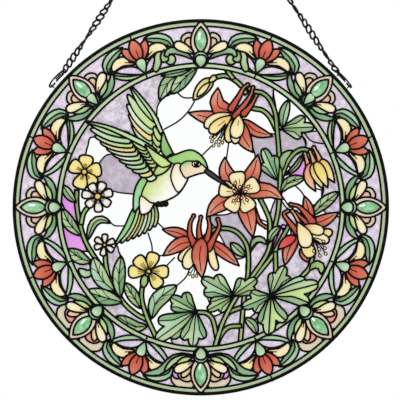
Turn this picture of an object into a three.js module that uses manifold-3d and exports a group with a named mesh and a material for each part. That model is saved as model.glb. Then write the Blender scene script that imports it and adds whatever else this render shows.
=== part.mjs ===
// A round stained glass panel, hung by two strands of curb chain: a hummingbird among columbines, inside a
// border of eight jewel palmettes and eight red flowers between two green bands.
// Millimetres, +Z up. The front faces -Y, and the origin is where the hang ring bears on its hook.
import * as THREE from 'three';
import { mergeVertices } from 'three/addons/utils/BufferGeometryUtils.js';
import Module from 'manifold-3d';

const wasm = await Module();
wasm.setup();

// ---- driving dimensions ----
const PANEL_RADIUS = 152.5;
const RIM_WIDTH = 2.2;
const RIM_DEPTH = 6.4;
const GLASS_THICKNESS = 3;
const LEAD_PROUD = 0.9;
const LEAD_WIDTH = 1.3;
const STEM_WIDTH = 2.2;
const GAP = 0.3;

// Centre lines of the three rings of lead: round the border, inside it, and round the picture.
const BORDER_RING = 146.4;
const INNER_RING = 116.8;
const PICTURE_RING = 113;
const MOTIFS = 8;
const JEWEL = { radius: 134.8, length: 19, width: 8.6, rise: 2.2 };

// The chain, its ring and its clasps, which lie along the rim between two angles from the top.
const WIRE = 1.05;
const LINK_PITCH = 5.6;
const LINK_WIDTH = 5.7;
const CHAIN_SLOPE = 1.5;
const HANG_RING = { radius: 6, wire: 1.8 };
const KNOT_WIDTH = 3.4;
const END_WIDTH = 4.4;
const LOOP = { radius: 1.9, wire: 1 };
const CLASP_THICKNESS = 1.6;
const HOOK_INSIDE = 1.4;
const EYE_INSIDE = 17.2;
const HOOK_ANGLE = 50.8;
const EYE_ANGLE = 44.2;

// Sides of the round pieces.
const RIM_SIDES = 56;
const BORDER_SIDES = 32;
const PICTURE_SIDES = 32;

// ---- heights in front of the middle of the glass ----
const HALF_RIM = RIM_DEPTH / 2;
const HALF_GLASS = GLASS_THICKNESS / 2;
const LEAD_FRONT = HALF_GLASS + LEAD_PROUD;
const HALF_LEAD = LEAD_WIDTH / 2;
const SEAM = HALF_LEAD + GAP;

// ---- finishes ----
const finish = (color, roughness, metalness = 0) =>
  new THREE.MeshStandardMaterial({ color, roughness, metalness });
const blackLead = finish('#1c1c1c', 0.5, 0.6);
const blackSteel = finish('#262624', 0.35, 0.8);
const greenBand = finish('#bcd3a4', 0.2);
const lilacGlass = finish('#d9cede', 0.25);
const clearGlass = finish('#f4f6f6', 0.05);
const jewelGlass = finish('#6db583', 0.08);
const birdGlass = finish('#8dc45a', 0.2);
const wingGlass = finish('#cfe3b4', 0.2);
const redGlass = finish('#cf5b43', 0.2);
const yellowGlass = finish('#f3db7a', 0.2);
const whiteGlass = finish('#ece6dc', 0.2);

// ---- joining and cutting ----
function solid(geometry) {
  const bare = geometry.clone();
  bare.deleteAttribute('normal');
  bare.deleteAttribute('uv');
  const merged = mergeVertices(bare, 1e-4);
  return new wasm.Manifold(new wasm.Mesh({
    numProp: 3,
    vertProperties: merged.attributes.position.array,
    triVerts: new Uint32Array(merged.index.array),
  }));
}

function meshOf(name, shape, material) {
  const { vertProperties, triVerts } = shape.getMesh();
  const geometry = new THREE.BufferGeometry();
  geometry.setAttribute('position', new THREE.BufferAttribute(vertProperties, 3));
  geometry.setIndex(new THREE.BufferAttribute(triVerts, 1));
  const mesh = new THREE.Mesh(geometry, material);
  mesh.name = name;
  return mesh;
}

const join = (solids) => solids.reduce((a, b) => a.add(b));
const cut = (shape, cutters) => cutters.reduce((a, b) => a.subtract(b), shape);

// ---- outlines in the plane of the panel: x to the right and y up, from its centre ----
const radians = THREE.MathUtils.degToRad;
const origin = new THREE.Vector2();
const points = (...pairs) => pairs.map(([x, y]) => new THREE.Vector2(x, y));
const turned = (outline, degrees) => outline.map((p) => p.clone().rotateAround(origin, -radians(degrees)));
const mirrored = (outline) => outline.map((p) => new THREE.Vector2(-p.x, p.y)).reverse();
const smooth = (line, steps) => new THREE.SplineCurve(line).getPoints(steps);

// A point at a distance from the centre, with its angle clockwise from the top.
function polar(radius, degrees) {
  const angle = radians(degrees);
  return new THREE.Vector2(radius * Math.sin(angle), radius * Math.cos(angle));
}

const circle = (radius, sides) => Array.from({ length: sides }, (_, i) => polar(radius, (i * 360) / sides));

// A closed outline grown by a distance, or shrunk where it is negative, with sharp corners held back.
function grown(outline, distance) {
  const turn = THREE.ShapeUtils.area(outline) > 0 ? 1 : -1;
  return outline.map((point, i) => {
    const a = point.clone().sub(outline.at(i - 1)).normalize();
    const b = outline[(i + 1) % outline.length].clone().sub(point).normalize();
    const normal = new THREE.Vector2(a.y + b.y, -a.x - b.x).normalize();
    const spread = Math.max(normal.x * a.y - normal.y * a.x, 0.5);
    return point.clone().addScaledVector(normal, (turn * distance) / spread);
  });
}

// The outline of a strip of one width along an open line.
function ribbon(line, width) {
  const side = (reach) => line.map((point, i) => {
    const before = line[Math.max(i - 1, 0)];
    const after = line[Math.min(i + 1, line.length - 1)];
    const along = after.clone().sub(before).normalize();
    return point.clone().add(new THREE.Vector2(-along.y, along.x).multiplyScalar(reach));
  });
  return [...side(width / 2), ...side(-width / 2).reverse()];
}

// ---- flat solids on those outlines ----
function prism(outline, back, front) {
  const geometry = new THREE.ExtrudeGeometry(new THREE.Shape(outline), { depth: front - back, bevelEnabled: false });
  return solid(geometry.translate(0, 0, back));
}

const plate = (outline) => prism(outline, -HALF_GLASS, HALF_GLASS);
const through = (outline) => prism(outline, -LEAD_FRONT, LEAD_FRONT);
const raised = (outline) => prism(outline, HALF_GLASS + GAP, LEAD_FRONT);
const well = (outline) => prism(outline, -RIM_DEPTH, RIM_DEPTH);
const annulus = (make, outer, inner, sides) => make(circle(outer, sides)).subtract(well(circle(inner, sides)));

// A line of lead round a closed outline.
const leadRound = (make, outline) => make(grown(outline, HALF_LEAD)).subtract(well(grown(outline, -HALF_LEAD)));

// ---- the picture's figures, from the back to the front ----
function rosette(x, y, radius, petals, turn) {
  const centre = new THREE.Vector2(x, y);
  return Array.from({ length: petals * 2 }, (_, i) =>
    polar(i % 2 ? radius * 0.7 : radius, turn + (i * 180) / petals).add(centre));
}

const figures = [
  ['yellow_flower_upper', yellowGlass, rosette(-93.5, 28.5, 12.5, 5, 10)],
  ['yellow_flower_lower', yellowGlass, rosette(-42, -51, 14.5, 5, 15)],
  ['white_daisy', whiteGlass, rosette(-82, 9, 11, 6, 0)],
  ['white_flower_small', whiteGlass, rosette(-79.5, -30, 9, 5, 20)],
  ['yellow_bud', yellowGlass, points([8, 106], [9, 99], [2, 91], [-6, 87], [-4, 96], [2, 103])],
  ['hanging_bud', yellowGlass, points([88, 48], [95, 48], [104, 31], [106, 20], [94, 14], [84, 36])],
  ['columbine_top', redGlass, points([-10, 74], [-1, 82], [9, 83], [14, 96], [24, 84], [42, 98], [38, 79], [43, 68],
    [59, 57], [46, 60], [42, 44], [32, 52], [14, 49], [10, 64])],
  ['columbine_centre', redGlass, points([20, 39], [33, 33], [47, 42], [49, 23], [66, 6], [50, -4], [42, -23],
    [28, -10], [5, -7], [14, 12])],
  ['columbine_lower', redGlass, points([-6, -8], [14, -10], [14, -27], [31, -47], [16, -43], [2, -57], [-13, -50],
    [-15, -38], [-31, -39], [-20, -29], [-31, -19], [-9, -22])],
  ['columbine_right', redGlass, points([85, 7], [93, -6], [109, -8], [100, -20], [103, -33], [92, -41], [82, -36],
    [67, -46], [71, -27], [77, -17], [68, -3], [78, -3])],
  ['hummingbird_far_wing', wingGlass, points([-56, 94], [-44, 89], [-32, 69], [-23, 38], [-36, 38], [-53, 62],
    [-59, 82])],
  ['hummingbird_tail', wingGlass, points([-67, -27], [-55, 4], [-46, 6], [-36, 4], [-36, -14], [-45, -21],
    [-57, -25])],
  ['hummingbird_body', birdGlass, points([24, 16], [5, 31], [0, 38], [-9, 44.5], [-19, 44], [-31, 38], [-47, 20],
    [-56, 1], [-46, 1], [-31, 4], [-18, 10], [-11, 19], [-4, 26], [4, 27])],
  ['hummingbird_near_wing', wingGlass, points([-87, 67], [-72, 67], [-55, 56], [-38, 48], [-26, 39], [-31, 29],
    [-46, 22], [-63, 31], [-80, 47])],
].map(([name, material, outline]) => ({ name, material, outline }));

const stems = [
  [[11, -112], [36, -61], [59, -36], [65, 11], [62, 60], [50, 93], [40, 96]],
  [[34, -107], [39, -39], [21, -18], [12, -20]],
  [[65, 24], [78, 46], [90, 46]],
  [[55, -37], [70, -36]],
  [[-39, -106], [-84, -45], [-99, -4], [-95, 20]],
  [[-91, -33], [-84, -32]],
  [[-96, -14], [-86, 2]],
  [[-38, -107], [-44, -54]],
  [[34, 112], [20, 102], [6, 103]],
  [[-66, -27], [-73, -30]],
].map((line) => (line.length === 2 ? points(...line) : smooth(points(...line), line.length + 1)));

// Leaves from where they spring, to the tip, with the width between.
const leaves = [
  [[2, 113], [-27, 91], 17],
  [[64, 62], [84, 80], 12],
  [[64, 22], [48, 51], 13],
  [[-92, -30], [-78, -60], 12],
  [[-58, -82], [-62, -50], 12],
  [[40, -62], [8, -60], 15],
  [[12, -111], [-22, -90], 16],
  [[36, -80], [84, -60], 15],
  [[35, -84], [60, -96], 17],
];

function leafOutline([[baseX, baseY], [tipX, tipY], width]) {
  const base = new THREE.Vector2(baseX, baseY);
  const along = new THREE.Vector2(tipX, tipY).sub(base);
  const across = new THREE.Vector2(-along.y, along.x).setLength(width / 2);
  const at = (share, side) => base.clone().addScaledVector(along, share).addScaledVector(across, side);
  return [at(0, 0), at(0.35, -1), at(0.7, -0.7), at(1, 0), at(0.7, 0.7), at(0.35, 1)];
}

// ---- the broad areas behind the figures ----
const skyline = points([-150, 26], [-70, 44], [-45, 36], [-25, 36], [-26, 46], [-38, 76], [-22, 94], [-20, 118],
  [-150, 118]);
const meadow = points([-150, -78], [-52, -84], [2, -74], [60, -54], [150, -40], [150, -150], [-150, -150]);
const thicket = points([65, 12], [150, 12], [150, 62], [65, 62]);

// ---- the border: a jewel palmette in each eighth, and a red flower half a step on ----
const pointedOval = (radius, length, width) => points(
  [0, radius + length / 2], [width / 2.2, radius + length / 5], [width / 2.2, radius - length / 5],
  [0, radius - length / 2], [-width / 2.2, radius - length / 5], [-width / 2.2, radius + length / 5]);
const jewelSeat = pointedOval(JEWEL.radius, JEWEL.length + 1.4, JEWEL.width + 2);
const halfPalmette = points([0, 117.6], [17, 129], [17, 139], [7, 138]);
const palmette = [...halfPalmette, ...points([0, 145.6]), ...mirrored(halfPalmette).slice(0, -1)];
const redFlower = points([0, 117.6], [12, 134], [6, 139], [0, 145.2], [-6, 139], [-12, 134]);
const eighths = Array.from({ length: MOTIFS }, (_, i) => (i * 360) / MOTIFS);

const borderLines = eighths.flatMap((angle) => [
  leadRound(raised, turned(palmette, angle)),
  leadRound(raised, turned(redFlower, angle + 180 / MOTIFS)),
]);

// A cabochon set through the glass: straight at the edge, with a low dome in front.
function cabochon({ radius, length, width, rise }, sides, angle) {
  const profile = points([0, -HALF_GLASS], [1, -HALF_GLASS], [1, HALF_GLASS], [0.6, HALF_GLASS + rise * 0.8],
    [0, HALF_GLASS + rise]);
  const geometry = new THREE.LatheGeometry(profile, sides).rotateX(Math.PI / 2);
  return solid(geometry.scale(width / 2, length / 2, 1).translate(0, radius, 0).rotateZ(-radians(angle)));
}

// ---- the panel, in its own plane ----
const panel = new THREE.Group();
const addPanel = (name, shape, material) => panel.add(meshOf(name, shape, material));

addPanel('rim', annulus((o) => prism(o, -HALF_RIM, HALF_RIM), PANEL_RADIUS, PANEL_RADIUS - RIM_WIDTH, RIM_SIDES),
  blackLead);
addPanel('outer_band_glass',
  annulus(plate, PANEL_RADIUS - RIM_WIDTH - GAP, BORDER_RING + SEAM, BORDER_SIDES), greenBand);
addPanel('border_glass',
  cut(plate(circle(BORDER_RING - SEAM, BORDER_SIDES)), [well(circle(INNER_RING + SEAM, PICTURE_SIDES)),
    ...eighths.map((angle) => well(turned(jewelSeat, angle)))]), lilacGlass);
addPanel('inner_band_glass', annulus(plate, INNER_RING - SEAM, PICTURE_RING + SEAM, PICTURE_SIDES), greenBand);
eighths.forEach((angle, i) => addPanel(`border_jewel_${i + 1}`, cabochon(JEWEL, 6, angle), jewelGlass));

const inFront = (index, reach) => figures.slice(index + 1).map(({ outline }) => well(grown(outline, reach)));
figures.forEach(({ name, material, outline }, i) =>
  addPanel(name, cut(plate(grown(outline, -SEAM)), inFront(i, SEAM)), material));

const field = cut(plate(circle(PICTURE_RING - SEAM, PICTURE_SIDES)),
  figures.map(({ outline }) => well(grown(outline, SEAM))));
addPanel('clear_glass', cut(field, [skyline, meadow, thicket].map((area) => well(grown(area, GAP)))), clearGlass);
addPanel('lilac_glass_upper', field.intersect(well(skyline)), lilacGlass);
addPanel('lilac_glass_right', field.intersect(well(thicket)), lilacGlass);
addPanel('lilac_glass_lower', field.intersect(well(meadow)), lilacGlass);

const pictureLead = join([...stems.map((line) => raised(ribbon(line, STEM_WIDTH))),
  ...leaves.map((leaf) => leadRound(raised, leafOutline(leaf)))]);
const leading = join([
  annulus(through, BORDER_RING + HALF_LEAD, BORDER_RING - HALF_LEAD, BORDER_SIDES),
  ...[INNER_RING, PICTURE_RING].map((r) => annulus(through, r + HALF_LEAD, r - HALF_LEAD, PICTURE_SIDES)),
  ...figures.map(({ outline }, i) => cut(leadRound(through, outline), inFront(i, 0))),
  cut(pictureLead, figures.map(({ outline }) => well(outline))),
  ...borderLines,
]);
addPanel('leading', leading, blackLead);

// ---- the rim's loops, the clasps and the chain: the same frame, with z to the front ----
const inSpace = (p) => new THREE.Vector3(p.x, p.y, 0);
const eyeCorner = polar(PANEL_RADIUS + LOOP.radius * 2, EYE_ANGLE);
const ringCentre = new THREE.Vector3(0, eyeCorner.y + eyeCorner.x * CHAIN_SLOPE, 0);

// A shape modelled along x and seen from the front, set at a point, along a direction and rolled about it.
function placed(geometry, start, along, across) {
  const basis = new THREE.Matrix4().makeBasis(along, across, along.clone().cross(across));
  return geometry.applyMatrix4(basis.setPosition(start));
}

function claspGeometry() {
  const shape = new THREE.Shape(points([0, -0.8], [2, -1.9], [8, -2.3], [13, -1.5], [15.8, -2], [18.2, -1.2],
    [18.2, 1.2], [15.8, 2], [13, 1.8], [7, 3], [2, 2.3], [0, 0.9]));
  shape.holes.push(new THREE.Path(points([HOOK_INSIDE, -0.6], [2.6, -0.9], [7, -1.1], [9.5, -0.5], [9.5, 0.8],
    [7, 1.6], [2.6, 1.1], [HOOK_INSIDE, 0.6])));
  shape.holes.push(new THREE.Path(points([14.4, -0.9], [EYE_INSIDE, -0.9], [EYE_INSIDE, 0.9], [14.4, 0.9])));
  return new THREE.ExtrudeGeometry(shape, { depth: CLASP_THICKNESS, bevelEnabled: false })
    .translate(0, 0, -CLASP_THICKNESS / 2);
}

// A strand of links fused where they cross, from the middle of its first wire to the middle of its last.
function strandGeometry(length, startRoll, endRoll) {
  const count = Math.round(length / LINK_PITCH);
  const pitch = length / count;
  const atEnd = (i) => i === 0 || i === count;
  const knots = Array.from({ length: count + 1 }, (_, i) => i);
  const edge = knots.flatMap((i) => {
    const x = i * pitch + (i === 0 ? -WIRE / 2 : 0) + (i === count ? WIRE / 2 : 0);
    const knot = [x, atEnd(i) ? END_WIDTH / 2 : KNOT_WIDTH / 2];
    return i === count ? [knot] : [knot, [(i + 0.5) * pitch, LINK_WIDTH / 2]];
  });
  const upper = points(...edge);
  const lower = upper.map((p) => new THREE.Vector2(p.x, -p.y)).reverse();
  const shape = new THREE.Shape([...upper, ...lower]);
  for (const i of knots.slice(0, -1)) {
    const corners = [[i * pitch + WIRE / 2, atEnd(i)], [(i + 1) * pitch - WIRE / 2, atEnd(i + 1)]]
      .map(([x, blunt]) => (blunt ? [[x, END_WIDTH / 2 - WIRE], [x, WIRE - END_WIDTH / 2]] : [[x, 0]]));
    const middle = (side) => [(i + 0.5) * pitch, side * (LINK_WIDTH / 2 - WIRE)];
    shape.holes.push(new THREE.Path(points(middle(1), ...corners[0], middle(-1), ...corners[1].reverse())));
  }
  const geometry = new THREE.ExtrudeGeometry(shape, { depth: WIRE, bevelEnabled: false }).translate(0, 0, -WIRE / 2);
  const { position } = geometry.attributes;
  for (let i = 0; i < position.count; i++) {
    const vertex = new THREE.Vector3().fromBufferAttribute(position, i);
    const roll = THREE.MathUtils.mapLinear(vertex.x, 0, length, startRoll, endRoll);
    vertex.applyAxisAngle(new THREE.Vector3(1, 0, 0), radians(roll));
    position.setXYZ(i, ...vertex.toArray());
  }
  return geometry;
}

function addHanger({ name, sign, claspRoll, twist }) {
  const outward = inSpace(polar(1, sign * HOOK_ANGLE));
  const loopCentre = outward.clone().multiplyScalar(PANEL_RADIUS + GAP + LOOP.radius + LOOP.wire / 2);
  const along = inSpace(polar(1, sign * (90 - (HOOK_ANGLE + EYE_ANGLE) / 2)));
  along.x *= -1;
  const flatSide = outward.clone().addScaledVector(along, -outward.dot(along)).normalize();
  const across = flatSide.clone().applyAxisAngle(along, radians(claspRoll));
  const hung = loopCentre.clone().addScaledVector(across, LOOP.radius);
  const start = hung.clone().addScaledVector(along, -HOOK_INSIDE - GAP - LOOP.wire / 2);

  const loopGeometry = new THREE.TorusGeometry(LOOP.radius, LOOP.wire / 2, 4, 6).rotateY(Math.PI / 2);
  addPanel(`hanging_loop_${name}`, solid(placed(loopGeometry, loopCentre, along, flatSide)), blackSteel);
  addPanel(`clasp_${name}`, solid(placed(claspGeometry(), start, along, across)), blackSteel);

  const firstWire = start.clone().addScaledVector(along, EYE_INSIDE - GAP - WIRE / 2);
  const direction = ringCentre.clone().sub(firstWire);
  const reach = direction.length() - HANG_RING.radius + HANG_RING.wire / 2 + GAP + WIRE / 2;
  direction.normalize();
  const side = new THREE.Vector3(0, 0, 1).cross(direction).normalize();
  const strand = strandGeometry(reach, 90 + claspRoll - 180, 90 + twist);
  addPanel(`chain_${name}`, solid(placed(strand, firstWire, direction, side)), blackSteel);
}

addHanger({ name: 'left', sign: -1, claspRoll: 48, twist: 720 });
addHanger({ name: 'right', sign: 1, claspRoll: 60, twist: -900 });
const ring = new THREE.TorusGeometry(HANG_RING.radius, HANG_RING.wire / 2, 6, 12).rotateZ(Math.PI / 2);
addPanel('hang_ring', solid(ring.translate(...ringCentre.toArray())), blackSteel);

// ---- the part: the panel stood up, with the hang ring's bearing at the origin ----
panel.rotation.x = Math.PI / 2;
panel.position.z = -(ringCentre.y + HANG_RING.radius - HANG_RING.wire / 2);

const part = new THREE.Group();
part.add(panel);
export default part;
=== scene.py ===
"""A round leaded glass panel on two strands of curb chain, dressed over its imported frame.

The glass is cut to a cartoon, as a glazier does it: panes are laid from the back to the front, in
millimetres from the middle of the disc. Every seam between two panes that show then carries a bead of lead.
"""

import math

import bmesh
import bpy
from mathutils import Matrix, Vector
from mathutils.geometry import delaunay_2d_cdt


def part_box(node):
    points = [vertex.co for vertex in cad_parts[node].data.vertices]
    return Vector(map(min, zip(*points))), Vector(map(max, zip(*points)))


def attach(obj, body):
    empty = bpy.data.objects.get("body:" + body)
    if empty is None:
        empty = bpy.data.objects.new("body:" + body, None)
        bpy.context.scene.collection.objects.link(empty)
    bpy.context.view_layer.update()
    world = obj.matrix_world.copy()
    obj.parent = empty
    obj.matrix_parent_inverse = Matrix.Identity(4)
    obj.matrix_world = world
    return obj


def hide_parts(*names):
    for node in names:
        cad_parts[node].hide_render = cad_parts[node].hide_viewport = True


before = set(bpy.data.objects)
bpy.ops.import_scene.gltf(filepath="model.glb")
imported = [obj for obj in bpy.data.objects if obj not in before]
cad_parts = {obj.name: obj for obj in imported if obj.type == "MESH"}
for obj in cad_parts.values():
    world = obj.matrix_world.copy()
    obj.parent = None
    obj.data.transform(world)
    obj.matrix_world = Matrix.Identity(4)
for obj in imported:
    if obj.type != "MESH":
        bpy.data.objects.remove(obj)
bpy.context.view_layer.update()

# ---- sizes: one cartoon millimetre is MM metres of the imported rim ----
RIM_LOW, RIM_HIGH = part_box("rim")
MIDDLE = (RIM_LOW + RIM_HIGH) / 2
RIM_RADIUS = 152.5
MM = (RIM_HIGH.x - RIM_LOW.x) / 2 / RIM_RADIUS
RIM_DEPTH = (RIM_HIGH.y - RIM_LOW.y) / MM
RIM_INSIDE = 149.8
RIM_TUCK = 0.6
BORDER_RING = 146.7
INNER_RING = 116.8
PICTURE_RING = 113.0
GLASS_DEPTH = 3.0
LEAD_DEPTH = 4.8
PAINT_DEPTH = 0.5
SEAM_WIDTHS = {"main": 1.6, "fine": 1.3, "rib": 0.9, "ground": 1.25}
PAINT_LINE = 0.75
VEIN_LINE = 0.5
STAMEN_LINE = 0.9
STEM = 3.3
TURN = 360.0
MOTIFS = 8
EIGHTH = TURN / MOTIFS
RING_STEPS = 192
SMOOTH_BELOW = math.radians(40)

# ---- colours and nodes ----
# the clouds of an opal, how far they carry its colour along a pane, a roller's ripple and a jewel's bloom
OPAL_GRAIN = 5.0
OPAL_DRIFT = 0.2
RIPPLE = 6.0
BUBBLE_CLOUD = 4.0


def linear(hex_colour):
    """An sRGB hex colour as the linear values that a shader takes."""
    channels = [int(hex_colour[i:i + 2], 16) / 255 for i in (1, 3, 5)]
    return [c / 12.92 if c <= 0.04045 else ((c + 0.055) / 1.055) ** 2.4 for c in channels] + [1.0]


def add_node(tree, kind, links=None, stops=(), **settings):
    """A node with its settings, its inputs set or linked by name, and the stops of a colour ramp."""
    node = tree.nodes.new(kind)
    for key, value in settings.items():
        setattr(node, key, value)
    for name, value in (links or {}).items():
        socket = node.inputs[name]
        if isinstance(value, bpy.types.NodeSocket):
            tree.links.new(value, socket)
        else:
            socket.default_value = value
    if stops:
        elements = node.color_ramp.elements
        while len(elements) < len(stops):
            elements.new(0.5)
        for element, (place, colour) in zip(elements, stops):
            element.position = place
            element.color = linear(colour)
    return node


def new_material(name):
    material = bpy.data.materials.new(name)
    material.use_nodes = True
    tree = material.node_tree
    return material, tree, tree.nodes["Principled BSDF"]


def finish_glass(tree, shader, coordinates):
    """The glossy, faintly rippled face that rolled glass has."""
    ripple = add_node(tree, "ShaderNodeTexNoise", {"Vector": coordinates.outputs["Object"],
                      "Scale": 1 / (RIPPLE * MM), "Detail": 1.0}).outputs["Fac"]
    bump = add_node(tree, "ShaderNodeBump", {"Height": ripple, "Strength": 0.15, "Distance": 0.2 * MM})
    tree.links.new(bump.outputs["Normal"], shader.inputs["Normal"])
    shader.inputs["Roughness"].default_value = 0.22
    shader.inputs["IOR"].default_value = 1.5
    shader.inputs["Specular IOR Level"].default_value = 0.3


def opal_glass(name, base, middle, tip):
    """Rolled opalescent glass: milky colour that drifts along a pane, under a glossy, slightly wavy face."""
    material, tree, shader = new_material(name)
    coordinates = add_node(tree, "ShaderNodeTexCoord")
    along = add_node(tree, "ShaderNodeSeparateXYZ", {"Vector": coordinates.outputs["UV"]}).outputs["X"]
    cloud = add_node(tree, "ShaderNodeTexNoise", {"Vector": coordinates.outputs["Object"],
                     "Scale": 1 / (OPAL_GRAIN * MM), "Detail": 3.0, "Roughness": 0.55}).outputs["Fac"]
    drift = add_node(tree, "ShaderNodeMath", {0: cloud, 1: OPAL_DRIFT * 2, 2: -OPAL_DRIFT},
                     operation="MULTIPLY_ADD").outputs[0]
    place = add_node(tree, "ShaderNodeMath", {0: along, 1: drift}, operation="ADD").outputs[0]
    colour = add_node(tree, "ShaderNodeValToRGB", {"Fac": place}, ((0.0, base), (0.5, middle), (1.0, tip)))
    tree.links.new(colour.outputs["Color"], shader.inputs["Base Color"])
    finish_glass(tree, shader, coordinates)
    return material


def mottled_glass(name, dark, middle, light, grain):
    """Mottled opalescent glass: soft blotches about a grain across, in one family of colour."""
    material, tree, shader = new_material(name)
    coordinates = add_node(tree, "ShaderNodeTexCoord")
    cloud = add_node(tree, "ShaderNodeTexNoise", {"Vector": coordinates.outputs["Object"],
                     "Scale": 1 / (grain * MM), "Detail": 4.0, "Roughness": 0.6,
                     "Distortion": 0.4}).outputs["Fac"]
    colour = add_node(tree, "ShaderNodeValToRGB", {"Fac": cloud},
                      ((0.36, dark), (0.5, middle), (0.63, light)))
    tree.links.new(colour.outputs["Color"], shader.inputs["Base Color"])
    finish_glass(tree, shader, coordinates)
    return material


def clear_glass(name):
    """Clear float glass: colourless, smooth and see-through."""
    material, _, shader = new_material(name)
    shader.inputs["Base Color"].default_value = linear("#fcfdfd")
    shader.inputs["Transmission Weight"].default_value = 1.0
    shader.inputs["Roughness"].default_value = 0.02
    shader.inputs["IOR"].default_value = 1.45
    return material


def jewel_glass(name):
    """Pressed glass cabochon: deep polished green with a paler bloom of bubbles."""
    material, tree, shader = new_material(name)
    coordinates = add_node(tree, "ShaderNodeTexCoord")
    cloud = add_node(tree, "ShaderNodeTexNoise", {"Vector": coordinates.outputs["Object"],
                     "Scale": 1 / (BUBBLE_CLOUD * MM), "Detail": 2.0}).outputs["Fac"]
    colour = add_node(tree, "ShaderNodeValToRGB", {"Fac": cloud},
                      ((0.3, "#5fa673"), (0.5, "#7fbf88"), (0.7, "#b0dcab")))
    tree.links.new(colour.outputs["Color"], shader.inputs["Base Color"])
    shader.inputs["Roughness"].default_value = 0.08
    shader.inputs["IOR"].default_value = 1.5
    shader.inputs["Coat Weight"].default_value = 0.4
    shader.inputs["Coat Roughness"].default_value = 0.03
    return material


def dull_coat(name, dark, light, grain, roughness, level):
    """A patina on metal, or fired glass paint: two close shades in fine clouds, with little shine."""
    material, tree, shader = new_material(name)
    coordinates = add_node(tree, "ShaderNodeTexCoord")
    cloud = add_node(tree, "ShaderNodeTexNoise", {"Vector": coordinates.outputs["Object"],
                     "Scale": 1 / (grain * MM), "Detail": 3.0}).outputs["Fac"]
    colour = add_node(tree, "ShaderNodeValToRGB", {"Fac": cloud}, ((0.35, dark), (0.7, light)))
    tree.links.new(colour.outputs["Color"], shader.inputs["Base Color"])
    bump = add_node(tree, "ShaderNodeBump", {"Height": cloud, "Strength": 0.2, "Distance": 0.1 * MM})
    tree.links.new(bump.outputs["Normal"], shader.inputs["Normal"])
    shader.inputs["Roughness"].default_value = roughness
    shader.inputs["Specular IOR Level"].default_value = level
    return material


LEAD = dull_coat("patinated_lead", "#010101", "#050505", 3.0, 0.5, 0.04)
STEEL = dull_coat("blackened_steel", "#020202", "#0b0b0a", 2.0, 0.42, 0.12)
BLACK_PAINT = dull_coat("black_glass_paint", "#020202", "#070605", 1.0, 0.55, 0.05)
YELLOW_PAINT = dull_coat("yellow_glass_paint", "#e9cf85", "#f6e5a8", 1.0, 0.35, 0.3)
PALE_PAINT = dull_coat("pale_glass_paint", "#cfe6b8", "#e4f1d6", 1.0, 0.35, 0.3)

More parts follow.
